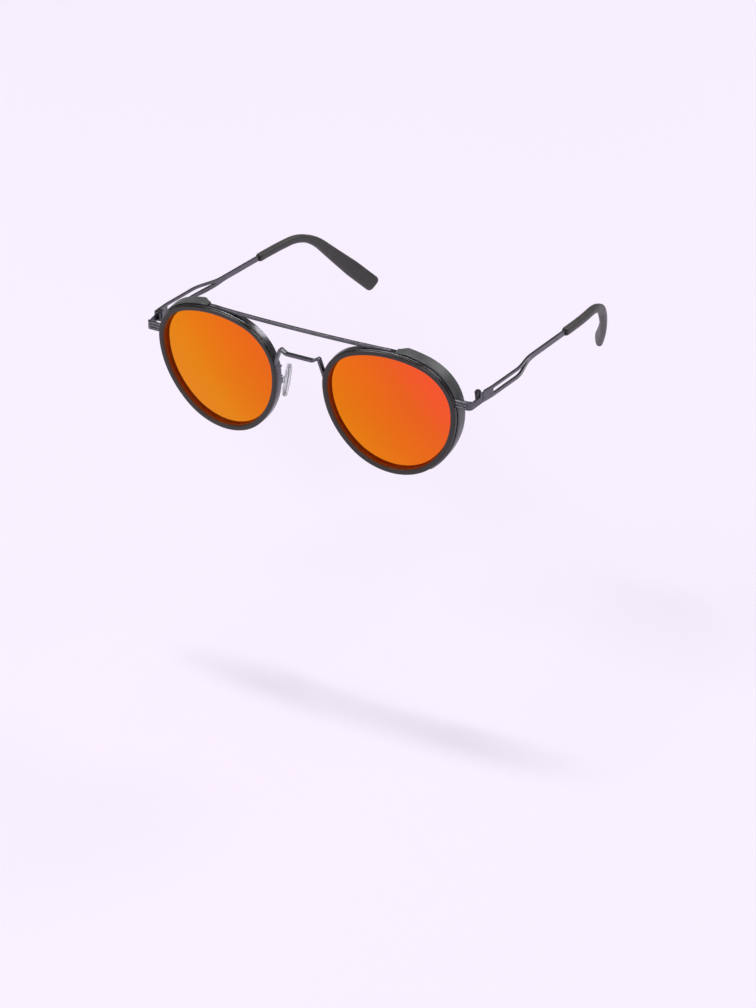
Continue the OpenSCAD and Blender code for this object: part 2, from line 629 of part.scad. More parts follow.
module pad_screw() color("#6d6870") on_pad() translate([pad_axis, 0, 0]) rotate([90, 0, 0]) {
  cylinder(d = pad_pin_d, h = 2 * box_half, center = true);
  translate([0, 0, box_half]) cylinder(r = pad_head_r, h = pad_head_h);
}

// Stadium on edge, its length along z
module plate(l, w, t) rotate([0, 90, 0]) linear_extrude(t) {
  square([l - w, w], center = true);
  for (k = [-1, 1]) translate([k * (l - w) / 2, 0]) circle(d = w);
}
module pad_insert() color("#d9dde2") on_pad() difference() {
  union() {
    translate([insert_back, 0, 0]) plate(insert_l, insert_w, insert_t);
    translate([boss_end, -boss_w / 2, -boss_h / 2]) cube([insert_back - boss_end + insert_t / 2, boss_w, boss_h]);
  }
  pad_bore();
}

// Soft pad: a rounded drop, narrower at the top, flat at the back
function pad_ring(u) = let (z = pad_h / 2 * sin(90 * u), k = pow(cos(90 * u), 0.8), w = pad_w * (1 - 0.12 * u) / 2 * k)
  [for (j = [0 : 15]) let (a = 22.5 * j)
    [pad_rear + pad_t / 2 + pad_t / 2 * power(cos(a), 0.8) * pow(k, 0.5), w * power(sin(a), 0.9), z]];
module nose_pad() color("#e6eaf0") on_pad() difference() {
  loft([for (u = [-0.96 : 0.16 : 0.96]) pad_ring(u)]);
  translate([insert_back - seat, 0, 0]) plate(insert_l + 2 * seat, insert_w + 2 * seat, insert_t + 2 * seat);
  translate([boss_end, -boss_w / 2 - seat, -boss_h / 2 - seat])
    cube([insert_back - boss_end + insert_t / 2, boss_w + 2 * seat, boss_h + 2 * seat]);
}

left() brow_bar();
left() bridge();
left() front_rim();  // left_front_rim
left() lens();  // left_lens
left() eyewire();  // left_eyewire
left() side_shield();  // left_side_shield
left() end_piece();  // left_end_piece
left() hinge_screw();  // left_hinge_screw
left() temple();  // left_temple
left() temple_tip();  // left_temple_tip
left() pad_arm();  // left_pad_arm
left() pad_box();  // left_pad_box
left() pad_screw();  // left_pad_screw
left() pad_insert();  // left_pad_insert
left() nose_pad();  // left_nose_pad
right() front_rim();  // right_front_rim
right() lens();  // right_lens
right() eyewire();  // right_eyewire
right() side_shield();  // right_side_shield
right() end_piece();  // right_end_piece
right() hinge_screw();  // right_hinge_screw
right() temple();  // right_temple
right() temple_tip();  // right_temple_tip
right() pad_arm();  // right_pad_arm
right() pad_box();  // right_pad_box
right() pad_screw();  // right_pad_screw
right() pad_insert();  // right_pad_insert
right() nose_pad();  // right_nose_pad
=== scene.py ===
import math

import bpy
import numpy as np
from mathutils import Matrix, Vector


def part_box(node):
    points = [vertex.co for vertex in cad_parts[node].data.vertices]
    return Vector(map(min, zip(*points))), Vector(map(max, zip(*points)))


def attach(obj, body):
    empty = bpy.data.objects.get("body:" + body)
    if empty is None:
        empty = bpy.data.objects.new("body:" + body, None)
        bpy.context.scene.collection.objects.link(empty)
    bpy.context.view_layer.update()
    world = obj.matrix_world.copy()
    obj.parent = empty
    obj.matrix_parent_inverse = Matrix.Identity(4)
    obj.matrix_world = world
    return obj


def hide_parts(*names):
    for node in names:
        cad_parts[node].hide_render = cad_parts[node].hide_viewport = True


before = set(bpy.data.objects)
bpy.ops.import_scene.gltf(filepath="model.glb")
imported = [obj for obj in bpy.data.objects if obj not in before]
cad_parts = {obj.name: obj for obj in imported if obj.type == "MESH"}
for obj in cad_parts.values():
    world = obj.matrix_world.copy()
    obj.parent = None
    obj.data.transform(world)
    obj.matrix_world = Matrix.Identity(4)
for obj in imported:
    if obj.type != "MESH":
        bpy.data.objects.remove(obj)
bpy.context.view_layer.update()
print("frame loaded,", len(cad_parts), "nodes")

mm = 0.001  # every shape below is worked out in millimetres

# Where the face frame (midway between the lens centres) sits in the part's frame
place = dict(backY=-66.5121, upZ=25.0335)


# the lens outline: four tangent arcs down each side, angles clockwise from the top

outline = dict(lensSpacing=71.0, browR=42.8, cornerR=18.5, cheekR=33.0, browAngle=18.0, cornerAngle=87.6,
               cheekAngle=136.9, tilt=7.2, wrap=3.9)


# helpers for shapes

def gridFaces(rows, cols, loopRows):
    # quads of a grid of points, each row joined round, and the last row joined to the first if rows loop
    a, b = np.meshgrid(np.arange(rows if loopRows else rows - 1), np.arange(cols), indexing="ij")
    c, d = (a + 1) % rows, (b + 1) % cols
    return np.stack([a * cols + b, c * cols + b, c * cols + d, a * cols + d], axis=-1).reshape(-1, 4)


def tube(rings, loopRows=False):
    # rings (rows, cols, 3) to points and faces; an open tube gets a flat face at each end
    rows, cols = rings.shape[:2]
    faces = gridFaces(rows, cols, loopRows).tolist()
    if not loopRows:
        faces.append(list(range(cols)))
        faces.append(list(range(rows * cols - 1, (rows - 1) * cols - 1, -1)))
    return rings.reshape(-1, 3), faces


def joined(*parts):
    # several (points, faces) as one
    points, faces, start = [], [], 0
    for p, f in parts:
        points.append(p)
        faces += [[i + start for i in face] for face in f]
        start += len(p)
    return np.concatenate(points), faces


def roundCorners(points, radius, steps=4, most=0.45):
    # closed outline with each corner p swapped for the curve (1-t)^2 a + 2t(1-t) p + t^2 c,
    # where a and c lie a radius away from p on its two sides, or the most of a side that it may take
    p = np.asarray(points, float)
    toLast, toNext = np.roll(p, 1, axis=-2) - p, np.roll(p, -1, axis=-2) - p
    lastLen = np.linalg.norm(toLast, axis=-1, keepdims=True)
    nextLen = np.linalg.norm(toNext, axis=-1, keepdims=True)
    reach = np.minimum(np.asarray(radius, float), most * np.minimum(lastLen, nextLen))
    a = (p + toLast / lastLen * reach)[..., None, :]
    c = (p + toNext / nextLen * reach)[..., None, :]
    t = np.linspace(0, 1, steps)[:, None]
    curve = (1 - t) ** 2 * a + 2 * t * (1 - t) * p[..., None, :] + t ** 2 * c
    return curve.reshape(*p.shape[:-2], -1, 2)


def roundPath(points, radius, steps=8):
    # open line with its inner corners rounded by the same curve
    p = np.asarray(points, float)
    mid = roundCorners(p, radius, steps).reshape(len(p), steps, 2)[1:-1].reshape(-1, 2)
    return np.concatenate([p[:1], mid, p[-1:]])


def unit(v):
    # each vector divided by its length
    return v / np.linalg.norm(v, axis=-1, keepdims=True)


def ease(t):
    # smooth step from 0 to 1: 3u^2 - 2u^3
    u = np.clip(t, 0, 1)
    return u * u * (3 - 2 * u)


def between(a, b, t):
    # a share t of the straight way from a to b
    return a + (b - a) * t


def oblong(width, height, radius, steps=4):
    # rounded rectangle about the origin
    w, h = width / 2, height / 2
    return roundCorners([[-w, -h], [w, -h], [w, h], [-w, h]], radius, steps)


def signedVolume(points, faces):
    # sum over fan triangles of a . (b x c) / 6
    tri = np.array([[f[0], f[i], f[i + 1]] for f in faces for i in range(1, len(f) - 1)])
    a, b, c = points[tri[:, 0]], points[tri[:, 1]], points[tri[:, 2]]
    return np.einsum("ij,ij->i", a, np.cross(b, c)).sum() / 6


def makePiece(name, shape, finish, body, node=None, sharp=40, inward=None):
    # a smooth mesh, creased past the sharp angle, that rides a body and may stand in for a node
    points, faces = shape
    if signedVolume(points, faces) < 0:
        faces = [f[::-1] for f in faces]
    mesh = bpy.data.meshes.new(name)
    mesh.from_pydata((points * mm).tolist(), [], faces)
    mesh.polygons.foreach_set("use_smooth", np.ones(len(mesh.polygons), bool))
    mesh.set_sharp_from_angle(angle=math.radians(sharp))
    # inward: per-point share of the painted orange-brown lens glow on a rim's inner wall
    if inward is not None:
        mesh.attributes.new("inward", "FLOAT", "POINT").data.foreach_set("value", inward.astype(np.float32))
    mesh.materials.append(finish)
    piece = bpy.data.objects.new(name, mesh)
    bpy.context.scene.collection.objects.link(piece)
    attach(piece, body)
    if node:
        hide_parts(node)
        low, high = (np.array(c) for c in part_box(node))
        off = max(np.abs(points.min(0) * mm - low).max(), np.abs(points.max(0) * mm - high).max())
        print(f"{name}: {len(faces)} faces, box off by {off / mm:.2f} mm")


def makePair(stem, shape, finish, bodies, node=None, sharp=40, inward=None):
    # the wearer's left piece as worked out, and its mirror image for the right
    points, faces = shape
    for side, sign, body in (("left", 1, bodies[0]), ("right", -1, bodies[1])):
        makePiece(f"{side}_{stem}", (points * [sign, 1, 1], faces), finish, body,
                  node and f"{side}_{node}", sharp, inward)


onFront, onArms, onPads = ("front", "front"), ("left_arm", "right_arm"), ("left_pad", "right_pad")


# helpers for materials

def colour(hexText):
    # sRGB hex to linear
    s = np.array([int(hexText[i:i + 2], 16) / 255 for i in (1, 3, 5)])
    return (*np.where(s <= 0.04045, s / 12.92, ((s + 0.055) / 1.055) ** 2.4).tolist(), 1.0)


def addNode(tree, kind, inputs=(), stops=(), **settings):
    # a value goes on the socket, a (node, output) pair is linked to it; stops are a ramp's places and tones
    node = tree.nodes.new("ShaderNode" + kind)
    for key, value in settings.items():
        setattr(node, key, value)
    for key, value in dict(inputs).items():
        if isinstance(value, tuple) and isinstance(value[0], bpy.types.Node):
            tree.links.new(value[0].outputs[value[1]], node.inputs[key])
        else:
            node.inputs[key].default_value = value
    if stops:
        elements = node.color_ramp.elements
        while len(elements) < len(stops):
            elements.new(0.5)
        for element, (position, hexText) in zip(elements, stops):
            element.position = position
            element.color = colour(hexText)
    return node


def newMaterial(name):
    # a material with an empty node tree
    material = bpy.data.materials.new(name)
    material.use_nodes = True
    material.node_tree.nodes.clear()
    return material, material.node_tree


def perMetre(sizeMm):
    # a pattern's scale on Object coordinates, from the size of one feature
    return 1 / (sizeMm * mm)


def twoTone(look):
    # a dark and a pale stop, each a spread away from the middle of a pattern
    return [(0.5 - look["spread"], look["dark"]), (0.5 + look["spread"], look["pale"])]


noiseLow, noiseHigh = 0.3, 0.7  # most of a noise pattern lies between these


# Gunmetal: steel strip and wire, brushed and ion plated. A purple-grey metal with a satin sheen, a
# slightly uneven tone and faint lengthwise brushing, which is drawn coarser than it is.
gunmetalLook = dict(dark="#56555A", pale="#69686D", spread=0.2, roughLow=0.2, roughHigh=0.34, cloudMm=3.0,
                    brushMm=0.12, stretch=(0.04, 0.04, 1.0), bump=0.05, bumpMm=0.02)


def makeGunmetal(look):
    material, tree = newMaterial("gunmetalPlatedSteel")
    where = addNode(tree, "TexCoord")
    along = addNode(tree, "Mapping", {"Vector": (where, "Object"), "Scale": look["stretch"]})
    cloud = addNode(tree, "TexNoise", {
        "Vector": (where, "Object"), "Scale": perMetre(look["cloudMm"]), "Detail": 3.0, "Roughness": 0.6})
    brush = addNode(tree, "TexNoise", {
        "Vector": (along, "Vector"), "Scale": perMetre(look["brushMm"]), "Detail": 2.0, "Roughness": 0.5})
    tone = addNode(tree, "ValToRGB", {"Fac": (cloud, "Fac")}, stops=twoTone(look))
    rough = addNode(tree, "MapRange", {
        "Value": (brush, "Fac"), "From Min": noiseLow, "From Max": noiseHigh,
        "To Min": look["roughLow"], "To Max": look["roughHigh"]})
    bump = addNode(tree, "Bump", {
        "Height": (brush, "Fac"), "Strength": look["bump"], "Distance": look["bumpMm"] * mm})
    shader = addNode(tree, "BsdfPrincipled", {
        "Base Color": (tone, "Color"), "Metallic": 1.0, "Roughness": (rough, "Result"),
        "Normal": (bump, "Normal")})
    addNode(tree, "OutputMaterial", {"Surface": (shader, "BSDF")})
    return material


# Stainless steel screws, turned: rings round the axis, drawn coarser than they are, on a steel that
# is a little brighter than the plating. A wave repeats every 2 pi / (20 * scale).
screwLook = dict(dark="#5F5B62", pale="#8A868C", spread=0.3, rough=0.3, ringMm=0.5655, bump=0.2, bumpMm=0.02)


def makeScrewSteel(look):
    material, tree = newMaterial("turnedStainlessSteel")
    where = addNode(tree, "TexCoord")
    rings = addNode(tree, "TexWave", {
        "Vector": (where, "Object"), "Scale": 2 * math.pi / 20 * perMetre(look["ringMm"]),
        "Distortion": 1.5, "Detail": 2.0}, bands_direction="Z")
    tone = addNode(tree, "ValToRGB", {"Fac": (rings, "Fac")}, stops=twoTone(look))
    bump = addNode(tree, "Bump", {
        "Height": (rings, "Fac"), "Strength": look["bump"], "Distance": look["bumpMm"] * mm})
    shader = addNode(tree, "BsdfPrincipled", {
        "Base Color": (tone, "Color"), "Metallic": 1.0, "Roughness": look["rough"],
        "Normal": (bump, "Normal")})
    addNode(tree, "OutputMaterial", {"Surface": (shader, "BSDF")})
    return material


# Moulded plastics. Smoky nylon rims are polished and nearly black, with an orange-brown glow from the
# lens painted as colour on their matt inner wall (a painted reflection; the edge colour). The side
# shields are a paler satin grey. The ear sleeves are a soft dark grey with a fine spark-eroded grain.
rimLook = dict(dark="#130F05", pale="#1B160B", spread=0.15, cloudMm=4.0, roughLow=0.14, roughHigh=0.22,
               grainMm=0.35, bump=0.02, bumpMm=0.03, ior=1.52, edge="#9A400A", edgeRough=0.5, edgeFrom=0.02)
shieldLook = dict(dark="#454647", pale="#505152", spread=0.15, cloudMm=5.0, roughLow=0.36, roughHigh=0.48,
                  grainMm=0.25, bump=0.1, bumpMm=0.03, ior=1.5)
sleeveLook = dict(dark="#353433", pale="#403E3D", spread=0.15, cloudMm=3.5, roughLow=0.42, roughHigh=0.56,
                  grainMm=0.3, bump=0.18, bumpMm=0.03, ior=1.5)


def makePlastic(name, look):
    material, tree = newMaterial(name)
    where = addNode(tree, "TexCoord")
    cloud = addNode(tree, "TexNoise", {
        "Vector": (where, "Object"), "Scale": perMetre(look["cloudMm"]), "Detail": 3.0, "Roughness": 0.55})
    grain = addNode(tree, "TexNoise", {
        "Vector": (where, "Object"), "Scale": perMetre(look["grainMm"]), "Detail": 2.0, "Roughness": 0.6})
    tone = addNode(tree, "ValToRGB", {"Fac": (cloud, "Fac")}, stops=twoTone(look))
    rough = addNode(tree, "MapRange", {
        "Value": (cloud, "Fac"), "From Min": noiseLow, "From Max": noiseHigh,
        "To Min": look["roughLow"], "To Max": look["roughHigh"]})
    # paint the lens's orange-brown glow on the rim's inner wall as colour (painted reflection), by the
    # inward share, and make that wall matt
    if "edge" in look:
        inward = addNode(tree, "Attribute", attribute_name="inward")
        tone = addNode(tree, "MixRGB", {
            "Fac": (inward, "Fac"), "Color1": (tone, "Color"), "Color2": colour(look["edge"])})
        wall = addNode(tree, "Math", {0: (inward, "Fac"), 1: look["edgeFrom"]}, operation="GREATER_THAN")
        matt = addNode(tree, "Math", {0: (wall, "Value"), 1: look["edgeRough"]}, operation="MULTIPLY")
        rough = addNode(tree, "Math", {0: (rough, "Result"), 1: (matt, "Value")}, operation="MAXIMUM")
    bump = addNode(tree, "Bump", {
        "Height": (grain, "Fac"), "Strength": look["bump"], "Distance": look["bumpMm"] * mm})
    shader = addNode(tree, "BsdfPrincipled", {
        "Base Color": (tone, "Color"), "Roughness": (rough, 0), "IOR": look["ior"],
        "Normal": (bump, "Normal")})
    addNode(tree, "OutputMaterial", {"Surface": (shader, "BSDF")})
    return material


# Mirror coat: thin metal oxide layers on the lens front. They give a bright orange mirror that turns
# from amber at the lower left of each lens to red-orange at its upper right, as the layers thin out.
coatLook = dict(face=0.0054, across=0.0114, upward=0.0125, middle=0.35, metal=0.93, waveMm=12.0,
                roughLow=0.05, roughHigh=0.08, clear=1.0, ior=1.45,
                stops=((0.0, "#F18F00"), (0.22, "#F48406"), (0.48, "#F67812"), (0.74, "#F56C1D"),
                       (1.0, "#FF5E2F")))


def makeMirrorCoat(look):
    material, tree = newMaterial("mirrorOxideCoat")
    where = addNode(tree, "TexCoord")
    # place on the ramp = middle + face * x + upward * z + across * x from the lens's own middle, in mm
    spot = addNode(tree, "Mapping", {
        "Vector": (where, "Object"), "Location": (0, 0, -place["upZ"]), "Scale": (1 / mm, 1 / mm, 1 / mm)})
    slant = addNode(tree, "VectorMath", {0: (spot, "Vector"), 1: (look["face"], 0.0, look["upward"])},
                    operation="DOT_PRODUCT")
    axes = addNode(tree, "SeparateXYZ", {"Vector": (spot, "Vector")})
    half = outline["lensSpacing"] / 2
    shifted = addNode(tree, "Math", {0: (axes, "X"), 1: half}, operation="SUBTRACT")
    local = addNode(tree, "Math", {0: (shifted, "Value"), 1: half, 2: -half}, operation="WRAP")
    part = addNode(tree, "Math", {0: (local, "Value"), 1: look["across"], 2: (slant, "Value")},
                   operation="MULTIPLY_ADD")
    centred = addNode(tree, "Math", {0: (part, "Value"), 1: look["middle"]}, operation="ADD")
    tone = addNode(tree, "ValToRGB", {"Fac": (centred, "Value")}, stops=look["stops"])
    wave = addNode(tree, "TexNoise", {
        "Vector": (where, "Object"), "Scale": perMetre(look["waveMm"]), "Detail": 1.0})
    rough = addNode(tree, "MapRange", {
        "Value": (wave, "Fac"), "To Min": look["roughLow"], "To Max": look["roughHigh"]})
    shader = addNode(tree, "BsdfPrincipled", {
        "Base Color": (tone, "Color"), "Metallic": look["metal"], "Roughness": (rough, "Result"),
        "Transmission Weight": look["clear"], "IOR": look["ior"]})
    addNode(tree, "OutputMaterial", {"Surface": (shader, "BSDF")})
    return material


# Polycarbonate lens body, cast and tinted brown: dark amber glass when seen from behind.
tintLook = dict(dark="#7A4A22", pale="#8A5528", spread=0.15, cloudMm=15.0, rough=0.03, ior=1.585, clear=1.0)


def makeLensTint(look):
    material, tree = newMaterial("tintedPolycarbonate")
    where = addNode(tree, "TexCoord")
    cloud = addNode(tree, "TexNoise", {
        "Vector": (where, "Object"), "Scale": perMetre(look["cloudMm"]), "Detail": 1.0})
    tone = addNode(tree, "ValToRGB", {"Fac": (cloud, "Fac")}, stops=twoTone(look))
    shader = addNode(tree, "BsdfPrincipled", {
        "Base Color": (tone, "Color"), "Roughness": look["rough"], "IOR": look["ior"],
        "Transmission Weight": look["clear"]})
    addNode(tree, "OutputMaterial", {"Surface": (shader, "BSDF")})
    return material


# Clear mouldings. The nose pads are water-white silicone with a soft skin that blurs what is behind
# it; their cores are glossy polycarbonate.
siliconeLook = dict(dark="#F7F9FB", pale="#FEFEFF", spread=0.15, cloudMm=6.0, roughLow=0.2, roughHigh=0.3,
                    grainMm=0.4, bump=0.04, bumpMm=0.03, ior=1.41, clear=0.9)
coreLook = dict(dark="#F3F6FA", pale="#FBFCFE", spread=0.15, cloudMm=2.0, roughLow=0.08, roughHigh=0.14,
                grainMm=0.3, bump=0.03, bumpMm=0.03, ior=1.58, clear=0.97)


def makeClear(name, look):
    material, tree = newMaterial(name)
    where = addNode(tree, "TexCoord")
    cloud = addNode(tree, "TexNoise", {
        "Vector": (where, "Object"), "Scale": perMetre(look["cloudMm"]), "Detail": 2.0})
    grain = addNode(tree, "TexNoise", {"Vector": (where, "Object"), "Scale": perMetre(look["grainMm"])})
    tone = addNode(tree, "ValToRGB", {"Fac": (cloud, "Fac")}, stops=twoTone(look))
    rough = addNode(tree, "MapRange", {
        "Value": (cloud, "Fac"), "To Min": look["roughLow"], "To Max": look["roughHigh"]})
    bump = addNode(tree, "Bump", {
        "Height": (grain, "Fac"), "Strength": look["bump"], "Distance": look["bumpMm"] * mm})
    shader = addNode(tree, "BsdfPrincipled", {
        "Base Color": (tone, "Color"), "Roughness": (rough, "Result"), "IOR": look["ior"],
        "Transmission Weight": look["clear"], "Normal": (bump, "Normal")})
    addNode(tree, "OutputMaterial", {"Surface": (shader, "BSDF")})
    return material


gunmetal = makeGunmetal(gunmetalLook)
screwSteel = makeScrewSteel(screwLook)
smokyNylon = makePlastic("polishedSmokyNylon", rimLook)
satinNylon = makePlastic("satinGreyNylon", shieldLook)
sleevePlastic = makePlastic("grainedDarkAcetate", sleeveLook)
clearCore = makeClear("mouldedClearPolycarbonate", coreLook)
mirrorCoat = makeMirrorCoat(coatLook)
lensTint = makeLensTint(tintLook)
silicone = makeClear("clearMouldedSilicone", siliconeLook)
print("materials made")


def polar(radius, degrees):
    # the point at a radius, an angle clockwise from the top
    a = np.radians(degrees)
    return np.stack([radius * np.sin(a), radius * np.cos(a)], axis=-1)


# centres of the brow, corner, cheek and chin arcs, each in line with the one before and their meeting point
browC = np.array([0, -outline["browR"]])
cornerC = browC + polar(outline["browR"] - outline["cornerR"], outline["browAngle"])
cheekC = cornerC + polar(outline["cornerR"] - outline["cheekR"], outline["cornerAngle"])
chinR = outline["cheekR"] + cheekC[0] / math.sin(math.radians(outline["cheekAngle"]))
chinC = cheekC + polar(outline["cheekR"] - chinR, outline["cheekAngle"])
halfH = (chinR - chinC[1]) / 2
arcCentres = np.array([browC, cornerC, cheekC, chinC]) + [0, halfH]
arcRadii = np.array([outline["browR"], outline["cornerR"], outline["cheekR"], chinR])
arcEnds = np.array([0, outline["browAngle"], outline["cornerAngle"], outline["cheekAngle"], 180.0])


def stationsAt(angles):
    # centre, radius and direction of the outline at each angle; past 180 it is the mirror image
    folded = np.where(angles > 180, 360 - angles, angles)
    k = np.clip(np.searchsorted(arcEnds, folded, side="right") - 1, 0, 3)
    flip = np.where(angles > 180, -1.0, 1.0)
    return arcCentres[k] * np.stack([flip, np.ones_like(flip)], axis=-1), arcRadii[k], polar(1.0, angles)


def halfAngles(gap):
    # angles down one side, about a gap apart along the edge
    counts = np.ceil(arcRadii * np.radians(np.diff(arcEnds)) / gap).astype(int)
    return np.concatenate([np.linspace(a, b, n, endpoint=False)
                           for a, b, n in zip(arcEnds[:-1], arcEnds[1:], counts)])


def allAngles(gap):
    # the angles of one side and their mirror images
    half = halfAngles(gap)
    return np.concatenate([half, [180.0], 360 - half[:0:-1]])


def beside(stations, offset):
    # points at an offset outside the edge; offset is (sections,) or (stations, sections)
    centre, radius, way = stations
    return centre[:, None] + (radius[:, None] + offset)[..., None] * way[:, None]


def frontPoint(x, up, depth):
    # lens coordinates to the part's frame: tilt the front, wrap it, then place it
    t, w = math.radians(outline["tilt"]), math.radians(outline["wrap"])
    y = depth * math.cos(t) - up * math.sin(t)
    z = up * math.cos(t) + depth * math.sin(t)
    return np.stack([outline["lensSpacing"] / 2 + x * math.cos(w) - y * math.sin(w),
                     x * math.sin(w) + y * math.cos(w) + place["backY"], z + place["upZ"]], axis=-1)


def carried(section, angles):
    # a section of (offset from the edge, depth behind the face) carried along the outline
    section = np.broadcast_to(section, (len(angles), *np.shape(section)[-2:]))
    flat = beside(stationsAt(angles), section[..., 0])
    return frontPoint(flat[..., 0], flat[..., 1], section[..., 1])


edgeGap = 0.5  # spacing of the sections along the edge
seat = 0.05  # play between seated pieces


# front rim: a moulded ring with softened edges, a bevel towards the lens and a thin lip down to it

rim = dict(width=2.1, thick=0.9, chamfer=0.3, bevel=0.4, lip=1.55, lipT=0.25, soft=0.12)
lens = dict(domeR=200.0, thick=1.5, gap=0.75, rings=28, pole=0.004, first=0.03, last=0.985, coat=0.02,
            coatEdge=0.995)


def domeSag(radius):
    # how far a sphere falls away at a radius: R - root(R^2 - r^2)
    return lens["domeR"] - np.sqrt(lens["domeR"] ** 2 - radius ** 2)


def reachAt(angles, offset):
    # distance from the middle of the lens to a line beside the edge
    return np.linalg.norm(beside(stationsAt(angles), np.array([offset]))[:, 0], axis=-1)


domeFront = rim["thick"] + lens["gap"] - domeSag(reachAt(allAngles(edgeGap), -rim["width"]).min())


def rimSection(r):
    # corners of (offset, depth): chamfered outside, bevelled inside, a lip behind the inner wall
    return roundCorners([[0, r["chamfer"]], [-r["chamfer"], 0], [r["bevel"] - r["width"], 0],
                         [-r["width"], r["bevel"]], [-r["width"], r["lip"]],
                         [r["lipT"] - r["width"], r["lip"]],
                         [r["lipT"] - r["width"], r["thick"]], [-r["chamfer"], r["thick"]],
                         [0, r["thick"] - r["chamfer"]]], r["soft"], 5)


rimAngles, rimCorners = allAngles(edgeGap), rimSection(rim)
# share of the painted lens glow on the rim: 0 on the front, rising down the bevel and the inner wall to 1 at
# the lens
onWall = rimCorners[:, 0] < rim["bevel"] - rim["width"] - 0.01  # a hair past the edge of the front
paintedGlowMask = np.clip(rimCorners[:, 1] / rim["lip"], 0, 1) * onWall
# the foot of the lip is let down to the dome, a coat's thickness short of the coat:
# depth + (dome depth at that angle - depth of the foot)
onLip = rimCorners[:, 1] > rim["thick"] + rim["soft"]
letDown = domeFront + domeSag(reachAt(rimAngles, -rim["width"])) - 3 * lens["coat"] - rim["lip"]
rimDepths = rimCorners[:, 1] + letDown[:, None] * onLip
rimSections = np.stack([np.broadcast_to(rimCorners[:, 0], rimDepths.shape), rimDepths], axis=-1)
makePair("rim_moulding", tube(carried(rimSections, rimAngles), True), smokyNylon, onFront,
         "front_rim", inward=np.tile(paintedGlowMask, len(rimAngles)))

# eyewire: a drawn wire with a channel that takes the lens tongue

wire = dict(width=1.8, depth=2.7, edge=0.2, channel=0.65, tongue=1.0, soft=0.12)
wireFront = rim["thick"] + seat
wireBack = wireFront + wire["depth"]
tongueMid = wireFront + wire["depth"] / 2


def wireSection(w):
    # corners of (offset, depth), with the channel cut in from the inner side
    lip = w["tongue"] / 2 + seat
    return roundCorners([[0, wireFront + w["edge"]], [-w["edge"], wireFront], [-w["width"], wireFront],
                         [-w["width"], tongueMid - lip], [w["channel"] - w["width"], tongueMid - lip],
                         [w["channel"] - w["width"], tongueMid + lip], [-w["width"], tongueMid + lip],
                         [-w["width"], wireBack], [0, wireBack]], w["soft"], 4)


makePair("eyewire_ring", tube(carried(wireSection(wire), allAngles(edgeGap)), True), gunmetal, onFront,
         "eyewire")

# lens: a domed disc with a tongue round it, and a mirror coat on its front

lensStations = stationsAt(allAngles(edgeGap))
lensEdge = beside(lensStations, np.array([-wire["width"] - 2 * seat]))[:, 0]
tongueEdge = beside(lensStations, np.array([wire["channel"] - wire["width"] - seat]))[:, 0]


def domeRing(share, back):
    # ring at a share of the way to the edge: depth = dome front + sag of its radius (+ thickness)
    flat = lensEdge * share
    radius = np.linalg.norm(flat, axis=-1)
    return frontPoint(flat[:, 0], flat[:, 1], domeFront + back + domeSag(radius))


def flatRing(flat, depth):
    # ring at one depth
    return frontPoint(flat[:, 0], flat[:, 1], np.full(len(flat), depth))


def lensShape(front, back):
    # front dome out from the middle, round the tongue, back dome in to the middle
    shares = np.concatenate([[lens["pole"]], np.linspace(lens["first"], lens["last"], lens["rings"]), [1.0]])
    near, far = tongueMid - wire["tongue"] / 2, tongueMid + wire["tongue"] / 2
    rings = [domeRing(s, front) for s in shares]
    rings += [flatRing(lensEdge, near), flatRing(tongueEdge, near)]
    rings += [flatRing(tongueEdge, far), flatRing(lensEdge, far)]
    rings += [domeRing(s, back) for s in shares[::-1]]
    return tube(np.stack(rings))


def coatShape(front, back):
    # a skin over the lens front, closed at its rim
    shares = np.concatenate([[lens["pole"]], np.linspace(lens["first"], lens["coatEdge"], lens["rings"])])
    return tube(np.stack([domeRing(s, front) for s in shares] + [domeRing(s, back) for s in shares[::-1]]))


makePair("lens_body", lensShape(0.0, lens["thick"]), lensTint, onFront, "lens", 30)
makePair("lens_mirror", coatShape(-2 * lens["coat"], -lens["coat"]), mirrorCoat, onFront, None, 30)
print("rims and lenses made")

# side shield: a wall along the outer edge, thin and low at the brow, rounded up to full depth and
# tapered out below

shield = dict(wall=0.7, depth=6.5, flare=0.25, start=3.2, step=6.8, low=0.6, end=142.0, lead=0.75, edge=0.4,
              lip=0.55, stepShare=0.7, thin=0.35, crest=60.0, taper=0.73, soft=0.2, riseSteps=40, apart=0.4)
shieldFront = wireFront + shield["lead"]
shieldLow = wireBack + shield["low"]


def browTurn(x):
    # angle on the brow arc at a distance from the middle of the lens
    return math.degrees(math.asin(x / outline["browR"]))


stepLow, stepTop = browTurn(shield["start"]), browTurn(shield["step"])


def shieldRise(a):
    # 0 at the low start, eased to 1 at the top of the step
    return ease((a - stepLow) / (stepTop - stepLow))


def shieldBack(a):
    # back edge = low + (full - low) * (eased rise + eased crest) * (1 - eased taper)
    taperStart = outline["cheekAngle"] * shield["taper"]
    crest = ease((a - stepTop) / shield["crest"])
    out = ease((a - taperStart) / (shield["end"] - taperStart))
    share = shield["stepShare"]
    up = share * shieldRise(a) + (1 - share) * crest
    return shieldLow + (shield["depth"] - shieldLow) * up * (1 - out)


def shieldSections(a):
    # corners of (offset, depth) at each angle: the lip behind the eyewire, then the flared wall
    s, back = shield, shieldBack(a)
    flare = s["flare"] * (back - shieldFront) / s["depth"]
    w = s["wall"] * between(s["thin"], 1, shieldRise(a))
    e = s["edge"] * w
    lipIn, lipFront, lipBack = -wire["width"] / 2, wireBack + seat, wireBack + s["lip"]
    pairs = [(seat, lipFront), (lipIn, lipFront), (lipIn, lipBack), (seat, lipBack), (flare + seat, back),
             (w + flare, back), (w, shieldFront + e), (w - e, shieldFront), (2 * seat, shieldFront)]
    corners = np.stack([np.stack([x + 0 * a, depth + 0 * a], axis=-1) for x, depth in pairs], axis=1)
    return roundCorners(corners, s["soft"], 4)


